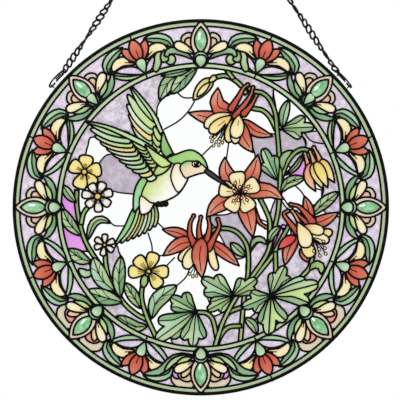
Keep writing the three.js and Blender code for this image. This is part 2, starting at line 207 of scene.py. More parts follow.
# each opal: its name on the cartoon, its name as a sheet, and its colours at a pane's base, middle and tip
GLASS = {key: opal_glass(name, *colours) for key, name, *colours in (
    ("band", "pale_green_opal", "#bcd3a4", "#b9d1a2", "#c4d9ae"),
    ("orchid", "orchid_opal", "#d27fd6", "#dc8fdf", "#e6a5e6"),
    ("deep_leaf", "deep_green_opal", "#6a9469", "#7fa97b", "#97bc8f"),
    ("olive_leaf", "olive_green_opal", "#7fa06d", "#93b380", "#a6c293"),
    ("aqua_leaf", "aqua_green_opal", "#97bf97", "#abd0aa", "#bfdfbb"),
    ("fresh_leaf", "fresh_green_opal", "#9bbd80", "#b0cd96", "#c5daab"),
    ("stem", "stem_green_opal", "#8bad63", "#9cbe74", "#aac785"),
    # the drop is green; its pale tip is a painted highlight
    ("drop", "drop_green_opal_painted_highlight", "#86b88a", "#a6cd9e", "#d3e6c6"),
    ("red", "red_opal", "#b8452f", "#cc5a43", "#db7c62"),
    ("red_tip", "red_flame_opal", "#bd4a35", "#cf664e", "#e2a083"),
    ("scarlet", "scarlet_opal", "#c93336", "#dc474b", "#e86a62"),
    ("cream", "cream_opal", "#ecd08f", "#f5e5af", "#f8ecc4"),
    ("flushed_cream", "flushed_cream_opal", "#d9604a", "#f3dfa4", "#f8ecc4"),
    ("gold", "gold_opal", "#e7bd62", "#f2da8d", "#f6e5a6"),
    ("club", "pale_cream_opal", "#efdba3", "#f5e7b8", "#f8f0cf"),
    ("peach", "peach_opal", "#d79a7c", "#e3b192", "#ecc8ae"),
    ("beige", "beige_opal", "#cfbb9c", "#d6c7ab", "#dfd2ba"),
    ("shell", "shell_pink_opal", "#ecd3c0", "#f0dcc9", "#efd5c6"),
    ("salmon", "salmon_opal", "#e88f6e", "#efab83", "#f2c793"),
    ("pink", "rose_opal", "#dd857c", "#e68f88", "#ea9a92"),
    ("lime_leaf", "lime_leaf_opal", "#b5cf80", "#c6dc90", "#d2e4a6"),
    ("apricot", "apricot_opal", "#e9b78f", "#efcf9f", "#f1d9a6"),
    ("yellow", "yellow_opal", "#e9c861", "#f3dc80", "#f7e89f"),
    ("button", "amber_opal", "#e3b64c", "#efcd64", "#f5df8a"),
    ("bud", "bud_yellow_opal", "#c3cc78", "#f1e596", "#f3e39a"),
    ("white", "warm_white_opal", "#d6cdbf", "#ebe5da", "#f8f5ef"),
    ("cream_white", "cream_white_opal", "#e9dfc4", "#f3ecd8", "#f8f3e4"),
    ("feather", "feather_green_opal", "#b0d490", "#c2e0a9", "#d6ebc4"),
    ("pale_feather", "feather_pale_opal", "#b9d894", "#e0edd3", "#eef4e8"),
    ("gold_feather", "feather_gold_opal", "#f3d67c", "#f5e19c", "#f6ebbd"),
    ("lime_feather", "feather_lime_opal", "#cbe08c", "#c3dc9c", "#cfe2b8"),
    ("mint_feather", "feather_mint_opal", "#acd79c", "#bfe0b2", "#d2eac8"),
    ("shoulder", "shoulder_green_opal", "#cde48d", "#bfdc86", "#aed27c"),
    ("cheek", "cheek_blush_opal", "#a3d17f", "#edd3b4", "#f3e0c6"),
    ("covert", "covert_green_opal", "#bcd67f", "#c8df92", "#d6e8a6"),
    ("green_tail", "tail_green_opal", "#7cc255", "#96d188", "#a8e2b2"),
    ("lime", "lime_opal", "#a8c35e", "#c3d27a", "#d9e0a0"),
    ("back", "back_green_opal", "#9cca80", "#8dbf70", "#7cb362"),
    ("breast", "breast_lime_opal", "#b3d067", "#d3df98", "#fafaf2"),
    ("head", "crown_green_opal", "#8fc769", "#9dd076", "#a9d684"),
    ("throat", "throat_cream_opal", "#f3e7c6", "#faf4e2", "#fcfaf2"),
    ("beak", "slate_opal", "#2f2d2d", "#3d3a3a", "#575353"),
)}
GLASS["border_lilac"] = mottled_glass("light_lilac_mottle", "#c9bdce", "#dcd0e0", "#eadfee", 4.0)
GLASS["lilac"] = mottled_glass("grey_lilac_mottle", "#b4a9b7", "#cfc5d2", "#e2dae5", 3.6)
GLASS["dusk"] = mottled_glass("dark_lilac_mottle", "#aea3b1", "#baafbd", "#c6bbc9", 5.0)
GLASS["clear"] = clear_glass("clear_float")
GLASS["jewel"] = jewel_glass("pressed_green_glass")

# ---- the cartoon: outlines in millimetres, x to the right and y up ----
PANES = []
PAINTED = []
ANTHERS = []


def at(degrees, radius):
    """A point by its angle clockwise from the top, and its distance from the middle."""
    angle = math.radians(degrees)
    return Vector((radius * math.sin(angle), radius * math.cos(angle)))


def spline(points, per=6):
    """A smooth line through the points."""
    knots = [Vector(p) for p in points]
    if len(knots) == 2:
        return [knots[0].lerp(knots[1], i / per) for i in range(per + 1)]
    knots = [knots[0] * 2 - knots[1], *knots, knots[-1] * 2 - knots[-2]]
    line = []
    for a, b, c, d in zip(knots, knots[1:], knots[2:], knots[3:]):
        for i in range(per):
            t = i / per
            line.append(0.5 * (2 * b + (c - a) * t + (2 * a - 5 * b + 4 * c - d) * t ** 2
                               + (3 * b - a - 3 * c + d) * t ** 3))
    return line + [knots[-2]]


def closed_spline(points, per=5):
    """A smooth closed outline through the points."""
    around = [Vector(p) for p in points]
    line = spline([around[-1], *around, around[0], around[1]], per)
    return line[per:-per - 1]


def along_line(line, share):
    """The point and the direction at a share of a line's length."""
    lengths = [(b - a).length for a, b in zip(line, line[1:])]
    rest = share * sum(lengths)
    for a, b, length in zip(line, line[1:], lengths):
        if rest <= length:
            return a.lerp(b, rest / max(length, 1e-9)), (b - a).normalized()
        rest -= length
    return line[-1].copy(), (line[-1] - line[-2]).normalized()


def blade(path, width, near=1.0, far=1.0, steps=12):
    """The two sides and the middle line of a leaf or petal; a power below one rounds its near or far end."""
    line = spline(path)
    peak = (near / (near + far)) ** near * (far / (near + far)) ** far
    left, middle, right = [], [], []
    for i in range(steps + 1):
        share = (1 - math.cos(math.pi * i / steps)) / 2
        point, direction = along_line(line, share)
        reach = width / 2 * share ** near * (1 - share) ** far / peak
        side = Vector((-direction.y, direction.x)) * reach
        left.append(point + side)
        middle.append(point)
        right.append(point - side)
    return left, middle, right


def pane(figure, glass, outline, base=None, tip=None, limit=PICTURE_RING, group=None):
    """Adds a pane in front of those before it, within a radius; its colour drifts from base to tip."""
    base = Vector(base) if base is not None else outline[0]
    tip = Vector(tip) if tip is not None else outline[len(outline) // 2]
    if sum(a.cross(b) for a, b in zip(outline, outline[1:] + outline[:1])) < 0:
        outline = outline[::-1]
    PANES.append({"figure": figure, "glass": glass, "outline": outline, "base": base, "tip": tip,
                  "limit": limit, "group": len(PANES) if group is None else group,
                  "box": (min(p.x for p in outline), max(p.x for p in outline),
                          min(p.y for p in outline), max(p.y for p in outline))})
    return len(PANES) - 1


def patch(figure, glass, base, tip, *points):
    """A pane with a smooth outline through the points."""
    return pane(figure, glass, closed_spline(points), base, tip)


def petal(figure, glass, path, width, near=1.0, far=1.0, **more):
    left, _, right = blade(path, width, near, far)
    return pane(figure, glass, left + right[-2:0:-1], path[0], path[-1], **more)


def leaf(figure, light, dark, path, width, near=1.0, far=1.0, limit=PICTURE_RING, group=None):
    """A leaf in two halves of glass, left and right of the thin seam along its middle."""
    left, middle, right = blade(path, width, near, far)
    group = len(PANES) if group is None else group
    return (pane(figure, light, left + middle[-2:0:-1], path[0], path[-1], limit, group),
            pane(figure, dark, middle + right[-2:0:-1], path[0], path[-1], limit, group))


def band(figure, glass, path, width, taper=1.0, power=1.0):
    """A stem of one width, or narrowing to a share of it, the sooner the higher the power."""
    line = spline(path)
    left, right = [], []
    for i, point in enumerate(line):
        direction = (line[min(i + 1, len(line) - 1)] - line[max(i - 1, 0)]).normalized()
        reach = width / 2 * (taper + (1 - taper) * (1 - i / (len(line) - 1)) ** power)
        side = Vector((-direction.y, direction.x)) * reach
        left.append(point + side)
        right.append(point - side)
    return pane(figure, glass, left + right[::-1], path[0], path[-1])


def disc(figure, glass, centre, radius, steps=16, **more):
    centre = Vector(centre)
    outline = [centre + at(-TURN * i / steps, radius) for i in range(steps)]
    return pane(figure, glass, outline, centre - Vector((0, radius)), centre + Vector((0, radius)), **more)


def paint(index, points, width=PAINT_LINE):
    """A line painted on one pane, such as a vein."""
    PAINTED.append((index, spline(points, 4), width))


# ---- the border ----
def ring(figure, glass, radius):
    outline = [at(-TURN * i / RING_STEPS, radius) for i in range(RING_STEPS)]
    pane(figure, glass, outline, (0, -radius), (0, radius), limit=RIM_RADIUS)


def beside(angle, side, points):
    """Points given as degrees from an axis of the border, clockwise (+1) or not (-1), and radius."""
    return [at(angle + side * degrees, radius) for degrees, radius in points]


def motif(angle):
    """Lays mirrored petals about an axis of the border; their points are degrees from it, and radius."""
    def add(glass, width, near, far, *points, sides=(-1, 1), limit=RIM_INSIDE):
        paths = [beside(angle, side, points) for side in sides]
        return [(petal("border", glass, path, width, near, far, limit=limit), path) for path in paths]
    return add


def jewel_motif(angle, style):
    """A green jewel in a thin shell, between clubs and lobes that fan from its collar; the leaves differ."""
    add = motif(angle)
    if style == "volute":
        for side in (-1, 1):
            disc("border", "fresh_leaf", at(angle + side * 11.6, 122.2), 4.2, limit=RIM_INSIDE)
        add("olive_leaf", 6.4, 1.0, 0.35, (13.1, 131), (13.8, 127), (13.5, 121.2))
        add("deep_leaf", 5.6, 0.75, 0.3, (2.9, 120), (5.7, 124.5), (8.4, 127.8), (10.6, 129.2),
            (12.3, 127.6), (12.5, 125))
    elif style == "long_leaf":
        add("deep_leaf", 6.4, 0.75, 0.6, (1.7, 120.8), (8.5, 122.1), (11.4, 128), (14.1, 137), (19, 142.8))
        add("fresh_leaf", 4.6, 0.5, 0.5, (3.2, 121), (7.6, 123.2), (10.4, 127.6), (12.4, 136))
        add("lime_leaf", 4.8, 0.8, 0.7, (3.4, 122), (6.2, 124.6), (9.0, 130))
    else:
        add("deep_leaf", 5.6, 0.8, 0.9, (2.2, 118.4), (7.2, 121.2), (10.2, 126), (11.4, 131.2))
        inner = "fresh_leaf" if style == "almond" else "lime_leaf"
        add(inner, 5.0, 0.8, 0.7, (2.4, 121), (5.4, 123.8), (8.6, 129))
    if style in ("fan", "long_leaf"):
        add("beige", 20.5, 0.9, 0.42, (1.4, 126), (5.2, 137), (6.6, 147.6), limit=BORDER_RING)
        if style == "long_leaf":
            add("orchid", 9.5, 0.9, 0.42, (1.4, 126), (6.8, 133), (8.9, 139.6))
        lobe = "peach" if style == "long_leaf" else "pink"
        add(lobe, 13.2, 0.9, 0.42, (1.4, 126), (4.6, 133.4), (5.7, 141.4))
        add("apricot", 5.8, 0.9, 0.5, (1.7, 125), (4.2, 131), (6.4, 138.6))
    else:
        add("beige", 11.5, 0.9, 0.42, (1.4, 126), (3.6, 133.4), (5.4, 141))
        add("peach", 6.8, 0.9, 0.42, (1.4, 126), (3.4, 131.5), (4.8, 137.4))
    for index, path in add("club", 7.4, 1.1, 0.42, (1.8, 123.6), (5.0, 128.4), (9.2, 134.4)):
        paint(index, [path[0].lerp(path[1], 0.3), path[0].lerp(path[1], 0.9)])
    add("shell", 16.6, 0.7, 0.85, (0, 121), (0, 150.6), sides=(1,))
    add("jewel", 10.4, 0.9, 0.9, (0, 124.8), (0, 146.2), sides=(1,))
    if style == "almond":
        add("deep_leaf", 10.4, 0.6, 0.45, (0, 117), (0, 128.4), sides=(1,))
        add("drop", 7.6, 1.1, 0.4, (0, 117), (0, 129.2), sides=(1,))
    else:
        disc("border", "aqua_leaf", at(angle, 120.1), 6.2, limit=RIM_INSIDE)
        add("drop", 9.2, 0.75, 0.45, (0, 113.2), (0, 123.6), sides=(1,))


def halves(heading, outer, inner):
    """The left and right glass of a leaf that runs clockwise (+1) or the other way (-1) round the border."""
    return (outer, inner) if heading > 0 else (inner, outer)


def flower_motif(angle, inner_leaves):
    """A red flower between two cream petals, under leaves that arch to the jewels on either side."""
    add = motif(angle)
    for side in (-1, 1):
        if inner_leaves[side] == "double":
            path = beside(angle, side, ((0.8, 117.6), (6.6, 121.2), (12, 129.6)))
            leaf("border", *halves(side, "deep_leaf", "fresh_leaf"), path, 6.4, 0.8, 0.8, limit=RIM_INSIDE)
        elif inner_leaves[side] == "single":
            add("aqua_leaf", 5.4, 0.5, 0.6, (0.9, 117.6), (5.8, 120.6), (11.4, 130.6), sides=(side,))
        arch = beside(angle, side, ((12.2, 130.6), (11.4, 137), (8, 141.4), (3.7, 144)))
        leaf("border", *halves(-side, "aqua_leaf", "deep_leaf"), arch, 8.6, 0.75, 0.8, limit=RIM_INSIDE)
    add("border_lilac", 6.4, 0.7, 0.8, (0.4, 117.8), (4.4, 124.2), (9.8, 129.6))
    for side in (-1, 1):
        if inner_leaves[side] == "upright":
            add("fresh_leaf", 5.8, 0.3, 0.5, (3.8, 116), (6, 122.6), (6.6, 127.4), (8.7, 132), sides=(side,))
    for index, path in add("cream", 7.8, 0.8, 0.6, (1.6, 127.4), (5.6, 134), (8.6, 133.6), (10.4, 130.6)):
        for share in (0.35, 0.6):
            end = path[0].lerp(path[1], 0.5 + share / 2) + (path[2] - path[1]) * (share - 0.45)
            paint(index, [path[0].lerp(path[1], 0.15), end])
    add("red", 7.6, 0.8, 0.7, (0.4, 127.5), (2.6, 136), (4.2, 143))
    for index, path in add("red", 10.4, 0.9, 0.75, (0, 127), (0, 146.8), sides=(1,)):
        paint(index, [path[0].lerp(path[1], 0.2), path[0].lerp(path[1], 0.5)])
    add("drop", 8.4, 1.1, 0.45, (0, 117.2), (0, 130.4), sides=(1,))


ring("outer_band", "band", RIM_INSIDE + RIM_TUCK)
ring("border", "border_lilac", BORDER_RING)
ring("inner_band", "band", INNER_RING)
ring("ground", "clear", PICTURE_RING)


# ---- the ground of the picture ----
def ground(glass, *points):
    """A rounded field of coloured glass in the ground."""
    pane("ground_lilac", glass, closed_spline(points))


def facet(figure, glass, *points):
    """A straight-sided pane of the ground."""
    pane(figure, glass, [Vector(p) for p in points])


ground("lilac", (-120, -4), (-103, 2), (-99, 22), (-94, 40), (-91.5, 50), (-87, 57), (-62, 50), (-40, 48),
       (-36, 72), (-35, 82), (-30, 89), (-23, 94), (-10, 120), (-90, 120))
ground("dusk", (-84, 32), (-80, 39), (-74, 43), (-62, 40), (-46, 24), (-50, 12), (-58, 11), (-72, 13.5),
       (-84, 22))
ground("lilac", (20, 122), (24, 110), (33, 98), (31, 90), (28.4, 83), (37, 81.6), (43, 80.2), (50, 78.3),
       (56, 73), (60.6, 64), (61, 80), (59, 95), (64, 112))
ground("dusk", (40, 56), (48, 59), (62, 58), (64, 40), (62, 8), (52, 14), (44, 30), (44, 42))
ground("lilac", (62, 60), (68, 63), (80, 60), (98, 62), (122, 58), (122, -6), (104, -8), (98, 6), (99, 17),
       (86, 30), (70, 34))
ground("lilac", (62, 8), (72, -2), (96, -8), (124, -14), (108, -76), (60, -116), (4, -124), (-24, -108),
       (-12, -92), (0, -84), (12, -88), (28, -76), (36, -60), (37, -44), (45, -30), (54, -24), (55, -10))
ground("dusk", (6, -8), (20, -6), (34, -4), (42, -28), (39, -38), (30, -42), (24, -38), (14, -20))
ground("lilac", (-122, -20), (-100, -22), (-92, -44), (-74, -64), (-56, -84), (-40, -98), (-34, -122),
       (-84, -104))
ground("lilac", (-78, -38), (-71, -34), (-68, -31), (-66.5, -36), (-65.5, -40), (-70, -54), (-72, -66),
       (-78, -56))
ground("dusk", (64, 62), (78, 60), (85, 54), (83, 46), (72, 41), (64, 42))
facet("ground_lilac", "orchid", (-118, 16), (-101, 8), (-99, -14), (-110, -2))
facet("ground_lilac", "orchid", (-113, -4), (-97, -22), (-92, -36), (-110, -33))
facet("ground_lilac", "orchid", (67.6, 21.2), (71.7, 25.3), (82.1, 37.8), (85.2, 38.8), (85.7, 29.5),
      (82.1, 24.8))
facet("ground_lilac", "orchid", (55, -40), (62, -24), (66, -14), (71, -15), (63, -30))
facet("ground", "clear", (64, 12), (77, 18), (86, 25), (90, 16), (98, 14), (98, 4), (86, 0), (72, 0))
facet("ground", "clear", (44, -8), (54, -12), (54, -27), (43, -25))
facet("ground", "clear", (66, -17), (73, -18), (73, -24), (68, -24))
facet("ground", "clear", (34, -82), (40, -80), (44, -86), (36, -92))

# the seams that cross the ground between two figures
FREE_LINES = [spline(points) for points in (
    [(-30, 63), (-18, 70), (-10, 78), (-5, 86)],
    [(-21, 95), (-14, 89), (-4, 89)],
    [(-73, -12.7), (-69, -15), (-60, -15)],
    [(-35.6, -12), (-29, -18)],
    [(-43, -20.5), (-39.9, -30), (-39.2, -38)],
    [(-34, -39.5), (-28, -38.5)],
    [(-28.4, -48), (-21, -40.5)],
    [(-8.6, -49), (-12.4, -57), (-20, -64)],
    [(9, 50), (0, 41)],
    [(22.6, 52), (20.6, 38)],
    [(59, 98), (58.3, 85)],
    [(84, 60), (90.4, 53.3), (104, 51)],
    [(81, 60), (84.7, 52), (84.7, 45)],
    [(75, 19), (82, 12), (86, 4)],
    [(99, 18), (97.6, 4)],
    [(21, -38), (28, -37)],
    [(9.6, -84), (4, -70)],
)]


# ---- leaves and stems ----
NARROW_LEAF = 8
VEIN_ROOTS = (0.3, 0.56)
DEEP, OLIVE, AQUA, FRESH, LIME = "deep_leaf", "olive_leaf", "aqua_leaf", "fresh_leaf", "lime_leaf"


def veined_leaf(light, dark, width, path):
    """A leaf in a light and a dark half, with a thin rib; a broad one has painted side veins."""
    sides = leaf("foliage", light, dark, path, width, 0.85, 0.75)
    if width <= NARROW_LEAF:
        return
    rib = spline(path)
    for index, sense in zip(sides, (1, -1)):
        for share in VEIN_ROOTS:
            root, along = along_line(rib, share)
            side = Vector((-along.y, along.x)) * sense
            paint(index, [root, root + (along * 0.4 + side * 0.18) * width,
                          root + (along * 0.72 + side * 0.42) * width], VEIN_LINE)


def leaflet(base, width, kinds, tips, limit=PICTURE_RING):
    """A leaflet of three lobes, the middle one in front; its glass changes at the vein of each lobe."""
    base, tips = Vector(base), [Vector(tip) for tip in tips]
    if (tips[0] - base).cross(tips[2] - base) > 0:
        tips, kinds = tips[::-1], kinds[::-1]
    group = len(PANES)
    for lobe in (0, 2, 1):
        bow = base.lerp(tips[lobe], 0.5).lerp(base.lerp(tips[1], 0.5), 0.3)
        path = [base, bow, tips[lobe]]
        leaf("foliage", kinds[lobe], kinds[lobe + 1], path, width, 0.85, 0.4, limit, group)


STEMS = [
    ((37, 82), (43, 80), (50, 78.5), (56, 73), (61, 63)),
    ((11, 105.2), (19, 106.6), (26, 104), (32.6, 98.6), (37, 91.8)),
    ((20, 113), (23.2, 108.2), (26.6, 104)),
    ((88, 46), (82, 47), (76, 44), (69.7, 35.7), (64.5, 22)),
    ((48, 7), (53, -3), (56, -12), (55.6, -26)),
    ((73, -12), (65.8, -25), (57.6, -39.6), (43.8, -57)),
    ((2, -26), (9, -19), (19, -17), (29, -20), (36.4, -29), (38.6, -40), (38, -56), (35, -74), (32, -110)),
    ((90.6, -40), (88, -49), (80, -58)),
    ((60.4, -36), (60.8, -54)),
    ((33, -81), (22, -86), (16, -97)),
    ((33, -96), (22, -97.4), (15.6, -105), (13, -112)),
    ((44, -94), (50, -86), (55, -74)),
    ((-3, -85), (5, -86), (10, -92), (13, -106)),
    ((38, 97), (43.8, 94), (50, 92.6), (56, 87), (60.4, 76), (61.9, 61.6), (63.4, 44), (64.3, 23), (63, 0),
     (60.4, -14), (56.8, -28), (52.4, -40), (40.7, -57), (28, -74), (18, -93), (11, -114)),
    ((-100.4, 14), (-100.6, 3), (-98.7, -10), (-94.6, -25), (-87, -39), (-74, -58), (-63.5, -76), (-53, -86),
     (-42, -92)),
    ((-90, 2), (-95, -5), (-97, -14)),
    ((-77.5, -37), (-77, -46), (-75, -56)),
    ((-46.6, -60), (-48, -73), (-44, -88), (-36, -106)),
]
for stem_path in STEMS:
    band("foliage", "stem", stem_path, STEM)

# the glass on either side of the rib, the width, and the points from stalk to tip
FORE_LEAVES = [
    (FRESH, OLIVE, 9.6, [(-97.2, -23), (-106.5, -13), (-112, -1.3)]),
    (OLIVE, FRESH, 7, [(-101, 4), (-106, 9), (-112, 18)]),
    (FRESH, OLIVE, 10.2, [(-88.9, -44), (-97, -41.5), (-107.5, -34)]),
    (AQUA, AQUA, 6.5, [(-87, -51), (-93, -54), (-99, -50)]),
    (FRESH, OLIVE, 6.6, [(-92, -27.2), (-87.5, -14), (-81, -9.8), (-73, -12.7)]),
    (AQUA, FRESH, 12.4, [(-70, -68), (-80.5, -58), (-87.3, -40.6)]),
    (FRESH, DEEP, 10.3, [(-65.1, -73.5), (-66.5, -58), (-64.6, -39.6)]),
    (DEEP, FRESH, 12.4, [(-63.5, -76.9), (-78, -73), (-93.5, -68.1)]),
    (FRESH, OLIVE, 9.3, [(-49.1, -82), (-53.5, -74), (-61.5, -61.3)]),
    (FRESH, OLIVE, 9.8, [(-42.9, -96), (-54, -96.5), (-68.2, -88.2)]),
    (AQUA, OLIVE, 12.6, [(-39.8, -90.3), (-35.6, -76), (-19.6, -63.4)]),
    (OLIVE, AQUA, 7.8, [(66, 64), (67.4, 76), (71, 87)]),
    (OLIVE, OLIVE, 6, [(66, 30), (67, 40), (74, 46)]),
    (OLIVE, FRESH, 4.6, [(68.5, 26), (77, 33), (83, 43)]),
    (OLIVE, FRESH, 8.5, [(65, 12), (71, 20), (84, 24)]),
    (FRESH, OLIVE, 9, [(89.6, -7), (97.6, 1.6), (111.6, 12.4)]),
    (FRESH, OLIVE, 7.4, [(36.6, -39.6), (31, -35.5), (24.2, -28.8)]),
    (OLIVE, OLIVE, 5, [(40.2, -34), (43.5, -27), (49, -26), (53.4, -30)]),
    (FRESH, OLIVE, 6.2, [(55.2, -29), (58, -21.5), (64.5, -15.3)]),
    ("stem", "stem", 6.4, [(88.2, -51), (92.4, -46.5), (97.4, -48), (97.4, -54)]),
    (FRESH, OLIVE, 7.2, [(45.4, -103), (42.4, -95.4), (35.6, -89.8)]),
    (FRESH, OLIVE, 11, [(-9, 111.5), (-25, 102.5), (-33.5, 87)]),
    (DEEP, FRESH, 10.5, [(-3, 113), (-13, 105), (-24, 92)]),
    (OLIVE, DEEP, 5.4, [(-8, 111.6), (-19, 109), (-32, 106.6)]),
]
for fore_leaf in FORE_LEAVES:
    veined_leaf(*fore_leaf)

# the base, the width of a lobe, the glass of the four fields from side to side and the three tips;
# those that lie over the inner band end at its ring
LEAFLETS = [
    ((-4, -84), 8.6, (DEEP, FRESH, DEEP, OLIVE), [(-24.2, -80.6), (-24.4, -73), (-12.4, -69)]),
    ((-5, -85), 10.6, (DEEP, AQUA, FRESH, OLIVE), [(-34.6, -92), (-36.2, -107.4), (-24.2, -106)]),
    ((-4, -85), 9, (OLIVE, FRESH, AQUA, DEEP), [(-15, -107), (-6.6, -112.6), (2.4, -106.4)]),
    ((25.7, -71.7), 9.6, (DEEP, AQUA, OLIVE, FRESH), [(2.4, -69), (1, -58), (13, -54.8)]),
    ((25.7, -72.6), 7.4, (OLIVE, FRESH, "stem", FRESH), [(7.6, -76.4), (5.4, -83.4), (15.9, -84.8)]),
    ((25.7, -71.7), 8, (OLIVE, FRESH, "stem", OLIVE), [(33, -57.4), (45, -58), (44.3, -67)]),
    ((56.8, -71.2), 8.8, (OLIVE, FRESH, OLIVE, FRESH), [(58, -53), (68, -47.8), (72.6, -57)]),
    ((57.2, -71.6), 11, (AQUA, FRESH, LIME, OLIVE), [(84.6, -58), (95, -62), (87.6, -77.4)], INNER_RING),
    ((56.4, -71.4), 8.2, (OLIVE, FRESH, DEEP, FRESH), [(40.4, -69), (34, -81), (43.8, -85)]),
    ((57, -72), 10.6, (DEEP, FRESH, LIME, OLIVE), [(48.4, -94.4), (55, -103.4), (68.9, -92)], INNER_RING),
    ((65, 64), 8.2, (OLIVE, FRESH, OLIVE, FRESH), [(84, 73), (91.6, 65), (81, 56.6)]),
    ((62, 22), 8.4, (DEEP, AQUA, DEEP, OLIVE), [(49, 34.6), (50.6, 47.4), (60, 42)]),
]
for lobed_leaf in LEAFLETS:
    leaflet(*lobed_leaf)


# ---- flowers: a row gives a width and the points from root to tip ----
SPUR_TIP = 2.4
SPUR_HOOK = 1.6


def open_flower(figure, glass, centre, radius, headings, width, eye, root=0.75, rays=0.5):
    """An open flower seen from the front: a petal on each heading, painted rays, and a yellow button."""
    centre = Vector(centre)
    for i, heading in enumerate(headings):
        reach = radius * (1 + 0.07 * math.sin(3 * i))
        index = petal(figure, glass, [centre, centre + at(heading, reach)], width, root, 0.34)
        for spread in (-14, 0, 14):
            ray = [centre + at(heading + spread, eye), centre + at(heading + spread * 0.7, radius * rays)]
            paint(index, ray, VEIN_LINE)
    disc(figure, "button", centre, eye, 12)


def stamens(root, tips):
    """Fine painted filaments, each with its anther."""
    root = Vector(root)
    for tip in tips:
        tip = Vector(tip)
        bow = (tip - root).orthogonal().normalized() * 0.8
        PAINTED.append((None, spline([root, root.lerp(tip, 0.5) + bow, tip], 3), STAMEN_LINE))
        ANTHERS.append((tip, (tip - root).normalized()))


def sepals(figure, *rows, near=0.7, far=0.95):
    """Red outer petals, each with a painted line along its middle."""
    for width, *path in rows:
        index = petal(figure, "red_tip", path, width, near, far)
        first = Vector(path[0]).lerp(Vector(path[1]), 0.4)
        last = Vector(path[-2]).lerp(Vector(path[-1]), 0.7)
        paint(index, [first, *path[1:-1], last])


def spurs(figure, glass, *rows):
    """Nectar spurs: tubes that narrow to a small rounded hook."""
    for width, *path in rows:
        tube = band(figure, glass, path, width, SPUR_TIP / width, 1.8)
        for centre, radius in ((path[0], width / 2), (path[-1], SPUR_HOOK)):
            end = disc(figure, glass, centre, radius, 12, group=tube)
            PANES[end].update(base=PANES[tube]["base"], tip=PANES[tube]["tip"])


def petals(figure, near, far, *rows):
    for glass, width, *path in rows:
        petal(figure, glass, path, width, near, far)


petals("yellow_flower_lower", 0.5, 0.5, ("stem", 6, (-46.8, -65), (-45, -55)))
open_flower("yellow_flower_upper", "yellow", (-94.4, 28.6), 13.8, (8, 80, 145, 200, 300), 11.6, 2.4, 0.9)
open_flower("yellow_flower_lower", "yellow", (-42.3, -52), 16, (17, 91, 143, 269, 318), 10.4, 2.0, 1.0, 0.55)
open_flower("white_daisy", "white", (-83.6, 8.8), 12.4, [22 + TURN * i / 7 for i in range(7)], 6.8, 2.8, 1.2)
open_flower("white_flower_small", "cream_white", (-78, -30.5), 8.8, (2, 65, 125, 190, 255, 305), 4.8, 1.7,
            1.1, 0.3)

petals("yellow_bud", 0.5, 0.75, ("bud", 10.4, (9.4, 103.6), (2.6, 97.6), (-6, 87)))
petals("yellow_bud", 0.8, 0.8, ("cream", 4.8, (7.4, 101), (2.8, 96.4), (-3.2, 89.6)))
petals("yellow_bud", 0.3, 0.6, ("bud", 4.6, (12.4, 106), (9.6, 104), (6.8, 101.6)))

spurs("hanging_bud", "salmon", (5.2, (87.8, 31.6), (85.7, 38.8), (84.4, 43.5)),
      (5.2, (92.4, 34.7), (90.2, 40.9), (88.5, 45)), (5.2, (97.1, 36.7), (94.5, 42.9), (91.6, 48.3)))
petals("hanging_bud", 0.5, 0.9, ("salmon", 8.4, (89.5, 36), (87.5, 24), (93, 13)),
       ("gold", 8.4, (97.6, 38.8), (102, 30.5), (108.2, 20.2)),
       ("gold", 8.4, (91.4, 35.7), (93, 28), (99, 15)),
       ("yellow", 8.4, (92.8, 36.7), (97.5, 28), (102.8, 16)))

# the upper columbine
sepals("columbine_top", (12, (28, 72), (14, 71), (-10, 76.5)), (13, (28, 76), (14, 82), (13.8, 96.8)),
       (9, (34, 71), (44, 62), (58, 57.5)), (12, (33, 70), (34, 58), (42, 44.6)))
spurs("columbine_top", "red", (5.8, (24.7, 80), (31, 90), (34.5, 96.5), (38, 99.3)),
      (5.8, (28, 74), (36, 84), (40.5, 91), (42.2, 97)), (5.8, (35, 76), (41, 83), (45, 90.5)))
for glass, width, *path in (("cream", 10, (24, 76), (12, 71), (3, 65)),
                            ("gold", 10, (25, 74), (14, 66), (7, 60.5)),
                            ("gold", 8.5, (26, 72), (24, 62), (22, 52.5)),
                            ("cream", 8.5, (27, 72), (28, 60), (28, 51.5)),
                            ("cream", 11, (31, 75), (30, 66), (27.3, 56))):
    number = petal("columbine_top", glass, path, width, 0.8, 0.5)
    paint(number, [Vector(path[0]).lerp(Vector(path[1]), 0.5), path[1]], VEIN_LINE)
stamens((20, 68), [(8.2, 56.6), (9, 53.4), (10.4, 50), (11.4, 57), (12.6, 53), (14.6, 50.4), (15.8, 55.4),
                   (17.6, 52.4)])

# the open columbine in the middle
CENTRE = Vector((31.6, 12))
spurs("columbine_centre", "red", (4.4, (42.6, -1), (47.6, -12), (52.8, -16)))
sepals("columbine_centre", (13, CENTRE, (20.5, 28), (19.5, 40.4)), (13, CENTRE, (42.5, 28), (46.4, 42.6)),
       (13, CENTRE, (54, 13.5), (67, 6.4)), (14, CENTRE, (38, -6), (42.2, -24)),
       (14, CENTRE, (14, 2), (4.6, -7.8)))
for angle in (-10, 62, 149, 211, 283):
    number = petal("columbine_centre", "flushed_cream", [CENTRE, CENTRE + at(angle, 17)], 13.4, 0.95, 0.3)
    for spread in (-9, 9):
        ray = [CENTRE + at(angle + spread, 7), CENTRE + at(angle + spread * 0.9, 11)]
        paint(number, ray, VEIN_LINE)
stamens(CENTRE, [CENTRE + at(27 * i - 80, 4.6 + 1.9 * (i % 3)) for i in range(13)])

